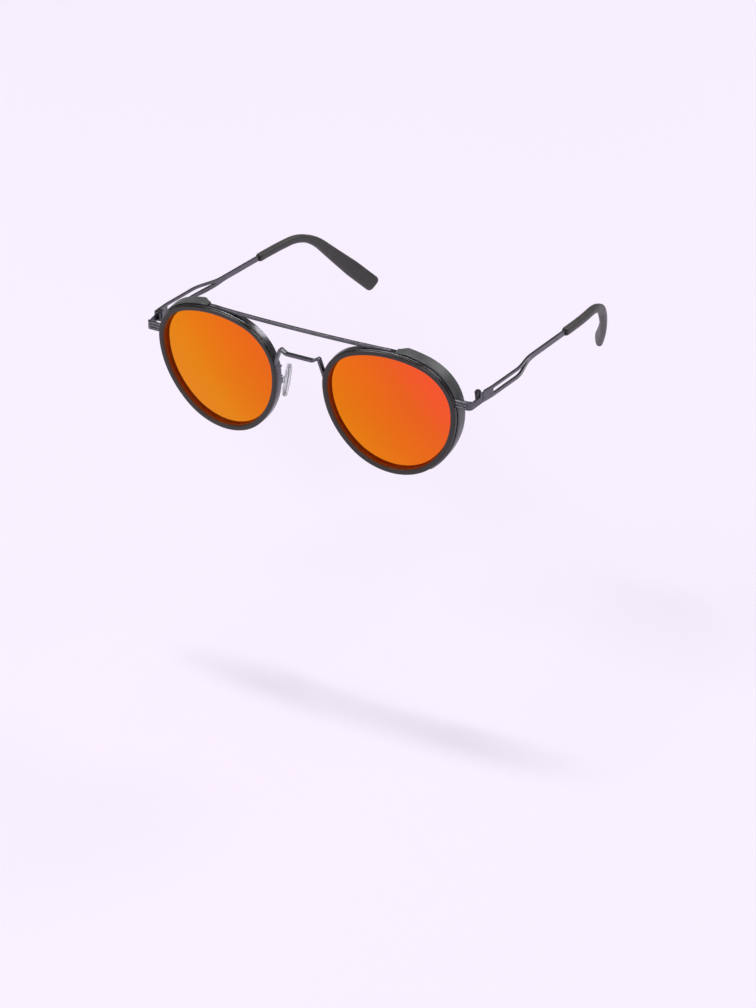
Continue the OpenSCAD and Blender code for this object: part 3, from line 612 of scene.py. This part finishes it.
half = halfAngles(edgeGap)
wallAngles = half[(half > stepTop + shield["apart"]) & (half < shield["end"] - shield["apart"])]
shieldAngles = np.unique(np.concatenate([
    np.linspace(stepLow, stepTop, shield["riseSteps"]), wallAngles, [shield["end"]]]))
makePair("shield_wall", tube(carried(shieldSections(shieldAngles), shieldAngles)), satinNylon, onFront,
         "side_shield")

# brow bar: an octagonal bar laid on the eyewires, bowed back a little, with sloped ends

bar = dict(height=1.45, depth=1.2, proud=0.85, over=2.3, slope=0.7, bow=1.2, ahead=0.4, cut=0.25, soft=0.1,
           steps=60, nearEnd=0.995)
barEdge = frontPoint(np.array(0.0), np.array(halfH), np.array(wireFront))


def barShape(b):
    # y grows with the square of the way out; the top is shorter than the bottom
    h, d, c = b["height"], b["depth"], b["cut"]
    section = roundCorners([[c, -h], [d - c, -h], [d, c - h], [d, -c], [d - c, 0], [c, 0],
                            [0, -c], [0, c - h]], b["soft"], 4)
    reach = outline["lensSpacing"] / 2 + b["over"] - b["slope"] * (section[:, 1] / h + 1)
    across = np.concatenate([[-1.0], np.linspace(-b["nearEnd"], b["nearEnd"], b["steps"]), [1.0]])
    depth = barEdge[1] - b["ahead"] * b["bow"] + section[:, 0]
    height = barEdge[2] + b["proud"] + section[:, 1]
    return tube(np.stack([np.stack([u * reach, depth + b["bow"] * u * u, height], axis=-1) for u in across]))


makePiece("brow_bar_strip", barShape(bar), gunmetal, "front", "brow_bar")

# bridge: a flat strip bent up into two raised shoulders and down to the eyewires

bridge = dict(thick=0.95, depth=1.9, z=14.2, footZ=8.2, rise=1.5, width=15.8, run=2.4, bend=0.5, behind=1.3,
              soft=0.1)


def edgeX(up):
    # half width of the rim's outer edge at a height, from the corner or cheek circle
    k = 1 if up > (arcCentres[1] + polar(arcRadii[1], outline["cornerAngle"]))[1] else 2
    return arcCentres[k][0] + math.sqrt(arcRadii[k] ** 2 - (up - arcCentres[k][1]) ** 2)


def bandRings(path, section):
    # section of (across, along) points set square to a flat path; path is in the section's own plane
    way = unit(np.gradient(path, axis=0))
    side = np.stack([-way[:, 1], way[:, 0]], axis=-1)
    flat = path[:, None] + section[None, :, :1] * side[:, None]
    return flat, np.broadcast_to(section[None, :, 1], flat.shape[:2])


def bridgeShape(b):
    # an oblong carried along foot, shoulder and middle, and back along their mirror images
    foot = frontPoint(np.array(-edgeX(b["footZ"])), np.array(b["footZ"]), np.array(b["behind"]))
    corners = np.array([[foot[0] + b["thick"], b["footZ"]], [b["width"] / 2, b["z"] + b["rise"]],
                        [b["width"] / 2 - b["run"], b["z"]]])
    path = roundPath(np.concatenate([corners, (corners * [-1, 1])[::-1]]), b["bend"], steps=12)
    flat, along = bandRings(path, oblong(b["thick"], b["depth"], b["soft"]))
    return tube(np.stack([flat[..., 0], foot[1] + along, flat[..., 1] + place["upZ"]], axis=-1))


makePiece("bridge_strip", bridgeShape(bridge), gunmetal, "front", "bridge")
print("shields and bars made")

# hinge places, shared by the end pieces and the temples

hinge = dict(z=10.6, lugZ=9.75, reach=6.9, bend=6.2, lugH=3.2, armH=2.6, plate=0.9, tall=4.15, back=7.6,
             plateDepth=1.4, barrelR=1.2, barrelH=3.9, sink=0.2, gap=0.06, pin=1.28, cant=9.5, slit=0.25,
             room=1.5, roomGap=0.3, bendR=1.2, soft=0.08, leafSoft=0.06, leafIn=0.1)
lugEdge = frontPoint(np.array(edgeX(hinge["lugZ"])), np.array(hinge["lugZ"]), np.array(hinge["plateDepth"]))
armOut = lugEdge[0] + hinge["reach"]
axisPoint = np.array([armOut - hinge["plate"] - hinge["barrelR"] + hinge["sink"], lugEdge[1] + hinge["back"],
                      hinge["z"] + place["upZ"]])
templeX = armOut - hinge["plate"] / 2
knuckleH = (hinge["barrelH"] - 2 * hinge["gap"]) / 3


def onAxis(points):
    # the hinge's own frame leans forward by the cant
    c, s = math.cos(math.radians(hinge["cant"])), math.sin(math.radians(hinge["cant"]))
    x, y, z = points[..., 0], points[..., 1], points[..., 2]
    return axisPoint + np.stack([x, y * c - z * s, y * s + z * c], axis=-1)


def knuckle(low, sides=48):
    # a ring turned about the hinge axis, with softened edges
    r0, r1, h = hinge["pin"] / 2, hinge["barrelR"], knuckleH
    section = roundCorners([[r0, low], [r1, low], [r1, low + h], [r0, low + h]], hinge["soft"], 4)
    a = np.linspace(0, 2 * np.pi, sides, endpoint=False)[:, None]
    heights = np.broadcast_to(section[:, 1], (sides, len(section)))
    ring = np.stack([section[:, 0] * np.cos(a), section[:, 0] * np.sin(a), heights], axis=-1)
    return tube(onAxis(ring), True)


def leaf(low, behind):
    # block from a knuckle to the inside of its plate, in front of the slit or behind it
    depth = hinge["barrelR"] - hinge["slit"] / 2
    y = (hinge["barrelR"] + hinge["slit"] / 2) / 2 * (1 if behind else -1)
    section = oblong(depth, knuckleH, hinge["leafSoft"]) + [y, low + knuckleH / 2]
    ends = (0.0, hinge["barrelR"] + hinge["roomGap"] + hinge["leafIn"])
    return tube(onAxis(np.stack([np.column_stack([np.full(len(section), x), section]) for x in ends])))


def thinned(y):
    # how much the plates give way to the knuckles on their inner side
    return np.where(np.abs(y - axisPoint[1]) < hinge["room"], hinge["roomGap"] + hinge["sink"], 0.0)


def plateRings(path, middles, heights, thick, soft):
    # upright rounded strip along a path seen from above: middle height and full height at each point
    way = unit(np.gradient(path, axis=0))
    side = np.stack([-way[:, 1], way[:, 0]], axis=-1)
    inner = thick / 2 - thinned(path[:, 1])
    outer = np.full(len(path), -thick / 2)
    corners = np.stack([np.stack([x, sign * heights / 2], axis=-1)
                        for x, sign in ((outer, -1), (inner, -1), (inner, 1), (outer, 1))], axis=1)
    section = roundCorners(corners, soft, 4)
    flat = path[:, None] + section[..., :1] * side[:, None]
    return np.concatenate([flat, (middles[:, None] + section[..., 1])[..., None]], axis=-1)


# end piece: a ribbed front plate bent back into an arm that ends in two hinge knuckles

endPiece = dict(ribR=0.48, ribPitch=1.08, ribSink=0.14, ribEnd=0.3, ribTip=0.45, ribSides=20)


def endPieceShape(e):
    # a strip carried along the plate, the bend and the arm, with knuckles at its end and ribs on its front
    t = hinge["plate"]
    bendAt = np.array([lugEdge[0] + hinge["bend"] - t / 2, lugEdge[1] + t / 2])
    toHinge = unit(np.array([templeX, axisPoint[1]]) - bendAt)
    tipEnd, roomEnd = (np.array([templeX, axisPoint[1]]) - toHinge * (short / toHinge[1])
                       for short in (hinge["slit"] / 2, hinge["room"]))
    path = roundPath([[lugEdge[0] - t, lugEdge[1] + t / 2], bendAt, tipEnd], hinge["bendR"], steps=14)
    # more points on the straight lengths, and two close ones where the knuckles' room begins
    path = np.concatenate([path[:1], between(path[:1], path[1:2], np.linspace(0.2, 0.8, 4)[:, None]),
                           path[1:-1],
                           between(path[-2:-1], roomEnd[None], np.linspace(0.2, 0.98, 5)[:, None]),
                           between(roomEnd, tipEnd, np.linspace(0.02, 1, 5)[:, None])])
    # lower edge straight to the slit; upper edge down to the arm's height, then up to a block at the hinge
    y, rise, room = path[:, 1], lugEdge[1] + hinge["bendR"], axisPoint[1] - hinge["room"]
    lugLow, slitLow = hinge["lugZ"] - hinge["lugH"] / 2, hinge["z"] - hinge["tall"] / 2
    bottom = np.interp(y, [rise, tipEnd[1]], [lugLow, slitLow])
    top = np.interp(y, [rise, rise + hinge["bendR"], room],
                    [lugLow + hinge["lugH"], lugLow + hinge["armH"], slitLow + hinge["armH"]])
    top = np.where(y > room, slitLow + hinge["tall"], top)
    parts = [tube(plateRings(path, (top + bottom) / 2 + place["upZ"], top - bottom, t, hinge["soft"]))]
    for low in (-hinge["barrelH"] / 2, hinge["barrelH"] / 2 - knuckleH):
        parts += [knuckle(low), leaf(low, False)]
    a = np.linspace(0, 2 * np.pi, e["ribSides"], endpoint=False)
    ribBack = hinge["bend"] - hinge["bendR"]
    ends = lugEdge[0] + np.array([-t, ribBack - e["ribEnd"], ribBack])
    sizes = np.array([1.0, 1.0, e["ribTip"]]) * e["ribR"]
    for k in (-1, 0, 1):
        y, z = lugEdge[1] + e["ribSink"], hinge["lugZ"] + place["upZ"] + k * e["ribPitch"]
        rings = [np.stack([np.full_like(a, x), y + r * np.cos(a), z + r * np.sin(a)], axis=-1)
                 for x, r in zip(ends, sizes)]
        parts.append(tube(np.stack(rings)))
    return joined(*parts)


makePair("end_piece_arm", endPieceShape(endPiece), gunmetal, onFront, "end_piece")

# temple: a plate split into two strips that draw together in an inward kink, then one strip to the sleeve

temple = dict(pitch=2.7, splitTop=1.0, splitLow=1.3, splitFront=6.7, splitLen=29.2, stripH=2.05,
              stripRise=0.62, kinkIn=2.4, kinkLen=16.0, kinkShare=0.73, lag=3.0, out=0.5, sleeveFront=66.3,
              intoSleeve=1.0, lean=0.3, soft=0.08, square=1e-4, stepGap=0.02)
splitBack = temple["splitFront"] + temple["splitLen"]
kinkFront = splitBack - temple["kinkShare"] * temple["kinkLen"]
kinkBack = kinkFront + temple["kinkLen"]


def kink(y):
    # 0 in front of the kink, eased to 1 behind it
    return ease((y - kinkFront) / temple["kinkLen"])


def templeAt(y):
    # sideways place of the temple's middle: lean out, kink in, lean in
    return (temple["out"] * np.clip(y / temple["splitFront"], 0, 1) - temple["kinkIn"] * kink(y)
            - math.tan(math.radians(temple["lean"])) * np.maximum(y - kinkBack, 0))


def onTemple(points):
    # the temple's own frame starts at the hinge and slopes down by the pitch
    c, s = math.cos(math.radians(temple["pitch"])), math.sin(math.radians(temple["pitch"]))
    x, y, z = points[..., 0], points[..., 1], points[..., 2]
    start = np.array([templeX, axisPoint[1], axisPoint[2]])
    return start + np.stack([x, y * c + z * s, z * c - y * s], axis=-1)


def templeRibbon(upper):
    # upper or lower half of the temple: between its outer edge and the split, or its middle line where
    # it isn't split; the lower edge draws in a little later than the upper one
    t, tall = temple, hinge["tall"]
    sign = 1 if upper else -1
    runs = [(np.linspace(hinge["slit"] / 2, hinge["room"] - t["stepGap"], 5), False),
            (np.linspace(hinge["room"] + t["stepGap"], t["splitFront"], 10), False),
            (np.linspace(t["splitFront"], splitBack, 70), True),
            (np.linspace(splitBack, t["sleeveFront"] + t["intoSleeve"], 60), False)]
    y = np.concatenate([run for run, _ in runs])
    split = np.concatenate([np.full(len(run), s) for run, s in runs])
    outerKink = kink(y - (0 if upper else t["lag"]))
    outer = between(sign * tall / 2, t["stripRise"] + sign * t["stripH"] / 2, outerKink)
    slotEdge = tall / 2 - t["splitTop"] if upper else t["splitLow"] - tall / 2
    inner = between(np.where(split, slotEdge, 0.0), t["stripRise"], kink(y))
    x, half = templeAt(y), hinge["plate"] / 2
    near, far = thinned(y + axisPoint[1]) - half, np.full_like(y, half)
    pairs = ((near, inner), (far, inner), (far, outer), (near, outer))
    corners = np.stack([np.stack(p, axis=-1) for p in pairs], axis=1)
    innerSoft, outerSoft = np.where(split, t["soft"], t["square"]), np.full_like(y, t["soft"])
    soft = np.stack([innerSoft, innerSoft, outerSoft, outerSoft], axis=1)[..., None]
    section = roundCorners(corners, soft, 4)
    along = np.broadcast_to(y[:, None], section.shape[:2])
    return tube(onTemple(np.stack([x[:, None] + section[..., 0], along, section[..., 1]], axis=-1)))


middleKnuckle = [knuckle(-knuckleH / 2), leaf(-knuckleH / 2, True)]
templeShape = joined(templeRibbon(True), templeRibbon(False), *middleKnuckle)
makePair("temple_strip", templeShape, gunmetal, onArms, "temple")

# ear sleeve: an oblong carried along the ear bend, widening to a flat paddle

sleeve = dict(height=3.2, thick=2.9, paddle=6.5, paddleR=2.0, run=21.0, earR=29.0, earAngle=41.0, earIn=39.0,
              turn=1.2, power=0.75, widen=0.9, lead=(0, 0.08, 0.2, 0.4, 0.65, 1.0), leadCut=0.5,
              pathSteps=600, bodyFrom=1.8, bodyGap=0.8, bodySteps=110, endSteps=16, endTurn=86)
bendLen = sleeve["earR"] * math.radians(sleeve["earAngle"])


def sleeveDrop(s):
    # length of the straight end that brings the paddle down to the table
    p, d = math.radians(temple["pitch"]), math.radians(temple["pitch"] + s["earAngle"])
    startZ = axisPoint[2] - temple["sleeveFront"] * math.sin(p) + temple["stripRise"] * math.cos(p)
    bendZ = startZ - s["run"] * math.sin(p) - s["earR"] * (math.cos(p) - math.cos(d))
    paddleLow = (s["paddle"] / 2 - s["paddleR"]) * math.cos(d) + s["paddleR"] * (1 - math.sin(d))
    return (bendZ - paddleLow) / math.sin(d)


dropLen = sleeveDrop(sleeve)
sleeveLen = sleeve["run"] + bendLen + dropLen


def sleeveTurns(s):
    # how far the sleeve has turned down and inward at a length: the ear bend, and an eased curl
    down = np.radians(sleeve["earAngle"]) * np.clip((s - sleeve["run"]) / bendLen, 0, 1)
    inward = np.radians(temple["lean"] + sleeve["earIn"] * ease(s / (sleeve["turn"] * sleeveLen)))
    return down, inward


def sleeveShape(k, sides=40):
    # heading is summed along the length for the path; each ring is |cos|^p by |sin|^p across it
    fine = np.linspace(0, sleeveLen, k["pathSteps"] + 1)
    down, inward = sleeveTurns((fine[1:] + fine[:-1]) / 2)
    heading = np.stack([-np.sin(inward) * np.cos(down), np.cos(inward) * np.cos(down), -np.sin(down)],
                       axis=-1)
    start = np.array([templeAt(np.array(temple["sleeveFront"])), temple["sleeveFront"], temple["stripRise"]])
    path = start + np.concatenate([np.zeros((1, 3)), np.cumsum(heading * np.diff(fine)[:, None], axis=0)])
    tailTurn = np.radians(np.linspace(0, k["endTurn"], k["endSteps"]))
    tail = sleeveLen - k["paddleR"] + k["paddleR"] * np.sin(tailTurn)
    body = np.linspace(k["bodyFrom"], tail[0] - k["bodyGap"], k["bodySteps"])
    s = np.concatenate([k["lead"], body, tail])
    down, inward = sleeveTurns(s)
    middle = np.stack([np.interp(s, fine, path[:, i]) for i in range(3)], axis=-1)
    across = np.stack([np.cos(inward), np.sin(inward), 0 * s], axis=-1)
    upright = np.stack([-np.sin(inward) * np.sin(down), np.cos(inward) * np.sin(down), np.cos(down)],
                       axis=-1)
    widening = np.clip((s - k["run"] - bendLen / 2) / (dropLen * k["widen"]), 0, 1)
    wide = between(k["height"], k["paddle"], widening)
    leadIn = k["leadCut"] * (1 - np.clip(s, 0, 1)) ** 2

    def endRound(r):
        # how much a quarter circle at the end takes off each side
        t = np.clip((s - sleeveLen + r) / r, 0, 0.9999)  # never quite to a point
        return r * (1 - np.sqrt(1 - t * t))

    h = wide - 2 * endRound(k["paddleR"]) - leadIn
    w = k["thick"] - 2 * endRound(k["thick"] / 2) - leadIn
    a = np.linspace(0, 2 * np.pi, sides, endpoint=False)
    ca, sa = (np.sign(f) * np.abs(f) ** k["power"] for f in (np.cos(a), np.sin(a)))
    aside = (ca * w[:, None] / 2)[..., None] * across[:, None]
    raised = (sa * h[:, None] / 2)[..., None] * upright[:, None]
    return tube(onTemple(middle[:, None] + aside + raised))


makePair("ear_sleeve", sleeveShape(sleeve), sleevePlastic, onArms, "temple_tip")
print("temples made")

# nose pads: a wire arm from each eyewire to a small box, and a soft pad on a hard core

pad = dict(spacing=24.0, back=8.6, drop=1.8, height=12.2, width=7.0, thick=2.4, turn=35.0, splay=10.0,
           boxBack=-3.7, boxH=2.2, rear=-0.9, taper=0.12, endPower=0.6, facePower=0.8, edgePower=0.9,
           rings=60, endTurn=88, armD=1.0, armZ=6.0, armIn=0.4, armLead=(0, 4, 1), armOver=4.0, armTouch=0.1)


def onPad(points):
    # the pad's own frame, splayed, turned towards the nose and set in its place
    s, t = math.radians(pad["splay"]), math.radians(pad["turn"])
    x, y, z = points[..., 0], points[..., 1], points[..., 2]
    x, z = x * math.cos(s) + z * math.sin(s), z * math.cos(s) - x * math.sin(s)
    return np.stack([pad["spacing"] / 2 - x * math.cos(t) - y * math.sin(t),
                     pad["back"] + x * math.sin(t) - y * math.cos(t) + place["backY"],
                     z - pad["drop"] + place["upZ"]], axis=-1)


def padShape(p, sides=36):
    # rings up the height: half width falls as a power of the cosine, thickness as the root of that,
    # narrower towards the top; each ring is |cos|^p by |sin|^q
    u = np.sin(np.radians(np.linspace(-p["endTurn"], p["endTurn"], p["rings"])))
    k = np.cos(np.pi / 2 * u) ** p["endPower"]
    a = np.linspace(0, 2 * np.pi, sides, endpoint=False)
    ca = np.sign(np.cos(a)) * np.abs(np.cos(a)) ** p["facePower"]
    sa = np.sign(np.sin(a)) * np.abs(np.sin(a)) ** p["edgePower"]
    w = p["width"] * (1 - p["taper"] * u) / 2 * k
    heights = np.broadcast_to((p["height"] / 2 * np.sin(np.pi / 2 * u))[:, None], (len(u), sides))
    rings = np.stack([p["rear"] + p["thick"] / 2 * (1 + ca * np.sqrt(k)[:, None]), w[:, None] * sa, heights],
                     axis=-1)
    return tube(onPad(rings))


def armShape(p, sides=20):
    # a round wire along one bezier curve
    rootX = wire["width"] / 2 - edgeX(p["armZ"])
    root = frontPoint(np.array(rootX), np.array(p["armZ"]), np.array(wireBack - p["armIn"]))
    end = onPad(np.array([p["boxBack"] - p["armD"] / 2 + p["armTouch"], 0, -p["boxH"] / 2]))
    over = onPad(np.array([p["boxBack"] - p["armD"] / 2, 0, p["armOver"]]))
    t = np.linspace(0, 1, 60)[:, None]
    path = ((1 - t) ** 3 * root + 3 * t * (1 - t) ** 2 * (root + p["armLead"])
            + 3 * t * t * (1 - t) * over + t ** 3 * end)
    way = unit(np.gradient(path, axis=0))
    side = unit(np.cross(way, [1.0, 0, 0]))
    lift = np.cross(way, side)
    a = np.linspace(0, 2 * np.pi, sides, endpoint=False)[:, None]
    return tube(path[:, None] + p["armD"] / 2 * (np.cos(a) * side[:, None] + np.sin(a) * lift[:, None]))


makePair("pad_wire", armShape(pad), gunmetal, onFront, "pad_arm")
makePair("pad_cushion", padShape(pad), silicone, onPads, "nose_pad")

# small pieces kept from the CAD model, with finished edges
kept = dict(hinge_screw=(screwSteel, 0.06), pad_box=(gunmetal, 0.12), pad_screw=(screwSteel, 0.06),
            pad_insert=(clearCore, 0.1))
softened = dict(weldMm=0.001, segments=2, angle=35)
for stem, (finish, edge) in kept.items():
    for side in ("left", "right"):
        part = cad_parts[f"{side}_{stem}"]
        part.data.materials.clear()
        part.data.materials.append(finish)
        weld = part.modifiers.new("weld", "WELD")
        weld.merge_threshold = softened["weldMm"] * mm
        soften = part.modifiers.new("edges", "BEVEL")
        soften.width = edge * mm
        soften.segments = softened["segments"]
        soften.limit_method = "ANGLE"
        soften.angle_limit = math.radians(softened["angle"])
print("pads made")


# stage: a pale floor well below the glasses, as in a packshot, with soft light all round

stage = dict(floorZ=-0.101, floorHalf=6.0, dark="#EEE5F4", pale="#EFE6F5", spread=0.2, cloudMm=1000 / 3,
             lit="#F9F0FF", glow=0.35, world=0.25)
lamps = dict(
    overheadSoftbox=dict(spot=(-1.22, -0.1, 6.0), size=3.0, thin=0.33, power=200.0, along=(1.0, 0.0, 0.0)),
    frontSoftbox=dict(spot=(-1.4, -1.96, 1.8), size=1.2, thin=1.0, power=18.0, along=(1.0, 0.0, 0.0)),
    backSoftbox=dict(spot=(1.2, 2.04, 2.14), size=1.4, thin=1.0, power=24.0, along=(1.0, 0.0, 0.0)),
    stripSoftbox=dict(spot=(1.52, -3.12, 1.88), size=2.6, thin=0.16, power=36.0, along=(0.685, 0.08, -0.57)))


def makeBackdrop(name, look):
    # Studio paper, matt and nearly even in tone. To the eye, in reflections and through clear pieces a
    # part of it glows, so that it comes out pale and still takes the shadow.
    material, tree = newMaterial(name)
    path = addNode(tree, "LightPath")
    seen = addNode(tree, "Math", {0: (path, "Is Camera Ray"), 1: (path, "Is Glossy Ray")},
                   operation="MAXIMUM")
    seen = addNode(tree, "Math", {0: (seen, "Value"), 1: (path, "Is Transmission Ray")},
                   operation="MAXIMUM")
    share = addNode(tree, "Math", {0: (seen, "Value"), 1: look["glow"]}, operation="MULTIPLY")
    where = addNode(tree, "TexCoord")
    cloud = addNode(tree, "TexNoise", {
        "Vector": (where, "Object"), "Scale": perMetre(look["cloudMm"]), "Detail": 1.0})
    tone = addNode(tree, "ValToRGB", {"Fac": (cloud, "Fac")}, stops=twoTone(look))
    matt = addNode(tree, "BsdfDiffuse", {"Color": (tone, "Color")})
    glow = addNode(tree, "Emission", {"Color": colour(look["lit"]), "Strength": 1.0})
    mixed = addNode(tree, "MixShader", {0: (share, "Value"), 1: (matt, "BSDF"), 2: (glow, "Emission")})
    addNode(tree, "OutputMaterial", {"Surface": (mixed, "Shader")})
    return material


def makeFloor(s):
    # one wide square of paper
    r, z = s["floorHalf"], s["floorZ"]
    mesh = bpy.data.meshes.new("studioFloor")
    mesh.from_pydata([(-r, -r, z), (r, -r, z), (r, r, z), (-r, r, z)], [], [(0, 1, 2, 3)])
    mesh.materials.append(makeBackdrop("studioPaper", s))
    floor = bpy.data.objects.new("studioFloor", mesh)
    bpy.context.scene.collection.objects.link(floor)


def makeWorld(s):
    # an even white all round
    world = bpy.data.worlds.new("studioWorld")
    bpy.context.scene.world = world
    world.use_nodes = True
    tree = world.node_tree
    tree.nodes.clear()
    plain = addNode(tree, "Background", {"Color": (1, 1, 1, 1), "Strength": s["world"]})
    addNode(tree, "OutputWorld", {"Surface": (plain, "Background")})


def facing(right, up, back, spot):
    # matrix of an object at a spot whose own axes point right, up and back
    turn = np.stack([right, up, back], axis=-1)
    return Matrix([[*row, p] for row, p in zip(turn, spot)] + [[0, 0, 0, 1]])


def addLamp(name, lamp):
    # an oval softbox aimed at the glasses, its long side along the given way
    data = bpy.data.lights.new(name, "AREA")
    data.shape = "ELLIPSE"
    data.size, data.size_y = lamp["size"], lamp["size"] * lamp["thin"]
    data.energy = lamp["power"]
    softbox = bpy.data.objects.new(name, data)
    back = unit(np.array(lamp["spot"], float))
    right = unit(np.array(lamp["along"]) - np.dot(lamp["along"], back) * back)
    softbox.matrix_world = facing(right, np.cross(back, right), back, lamp["spot"])
    bpy.context.scene.collection.objects.link(softbox)


makeFloor(stage)
makeWorld(stage)
for lampName, lamp in lamps.items():
    addLamp(lampName, lamp)

# camera at the photograph's angle, worked out from the outline of the lenses and the temples
shot = dict(azimuth=30.22, elevation=25.65, aside=26.5, above=11.7, away=1279.5, eyeY=0.819, eyeZ=1.161,
            focalPx=3600, imageH=1008, shiftPx=-149, sensorMm=36, near=0.01)


def makeCamera(c):
    # it stands aside, above and away from a point between the lenses, along its own axes
    a, e = math.radians(c["azimuth"]), math.radians(c["elevation"])
    right = np.array([math.cos(a), math.sin(a), 0])
    back = np.array([math.sin(a) * math.cos(e), -math.cos(a) * math.cos(e), math.sin(e)])
    up = np.cross(back, right)
    spot = (c["aside"] * right + c["above"] * up + c["away"] * back
            + [0, c["eyeY"] + place["backY"], c["eyeZ"] + place["upZ"]])
    data = bpy.data.cameras.new("packshotCamera")
    data.sensor_width = c["sensorMm"]
    data.lens = c["focalPx"] * c["sensorMm"] / c["imageH"]
    data.shift_y = c["shiftPx"] / c["imageH"]
    data.clip_start = c["near"]
    camera = bpy.data.objects.new("packshotCamera", data)
    camera.matrix_world = facing(right, up, back, spot * mm)
    bpy.context.scene.collection.objects.link(camera)
    bpy.context.scene.camera = camera


makeCamera(shot)
bpy.context.scene.view_settings.view_transform = "Standard"
print("stage, lamps and camera set")
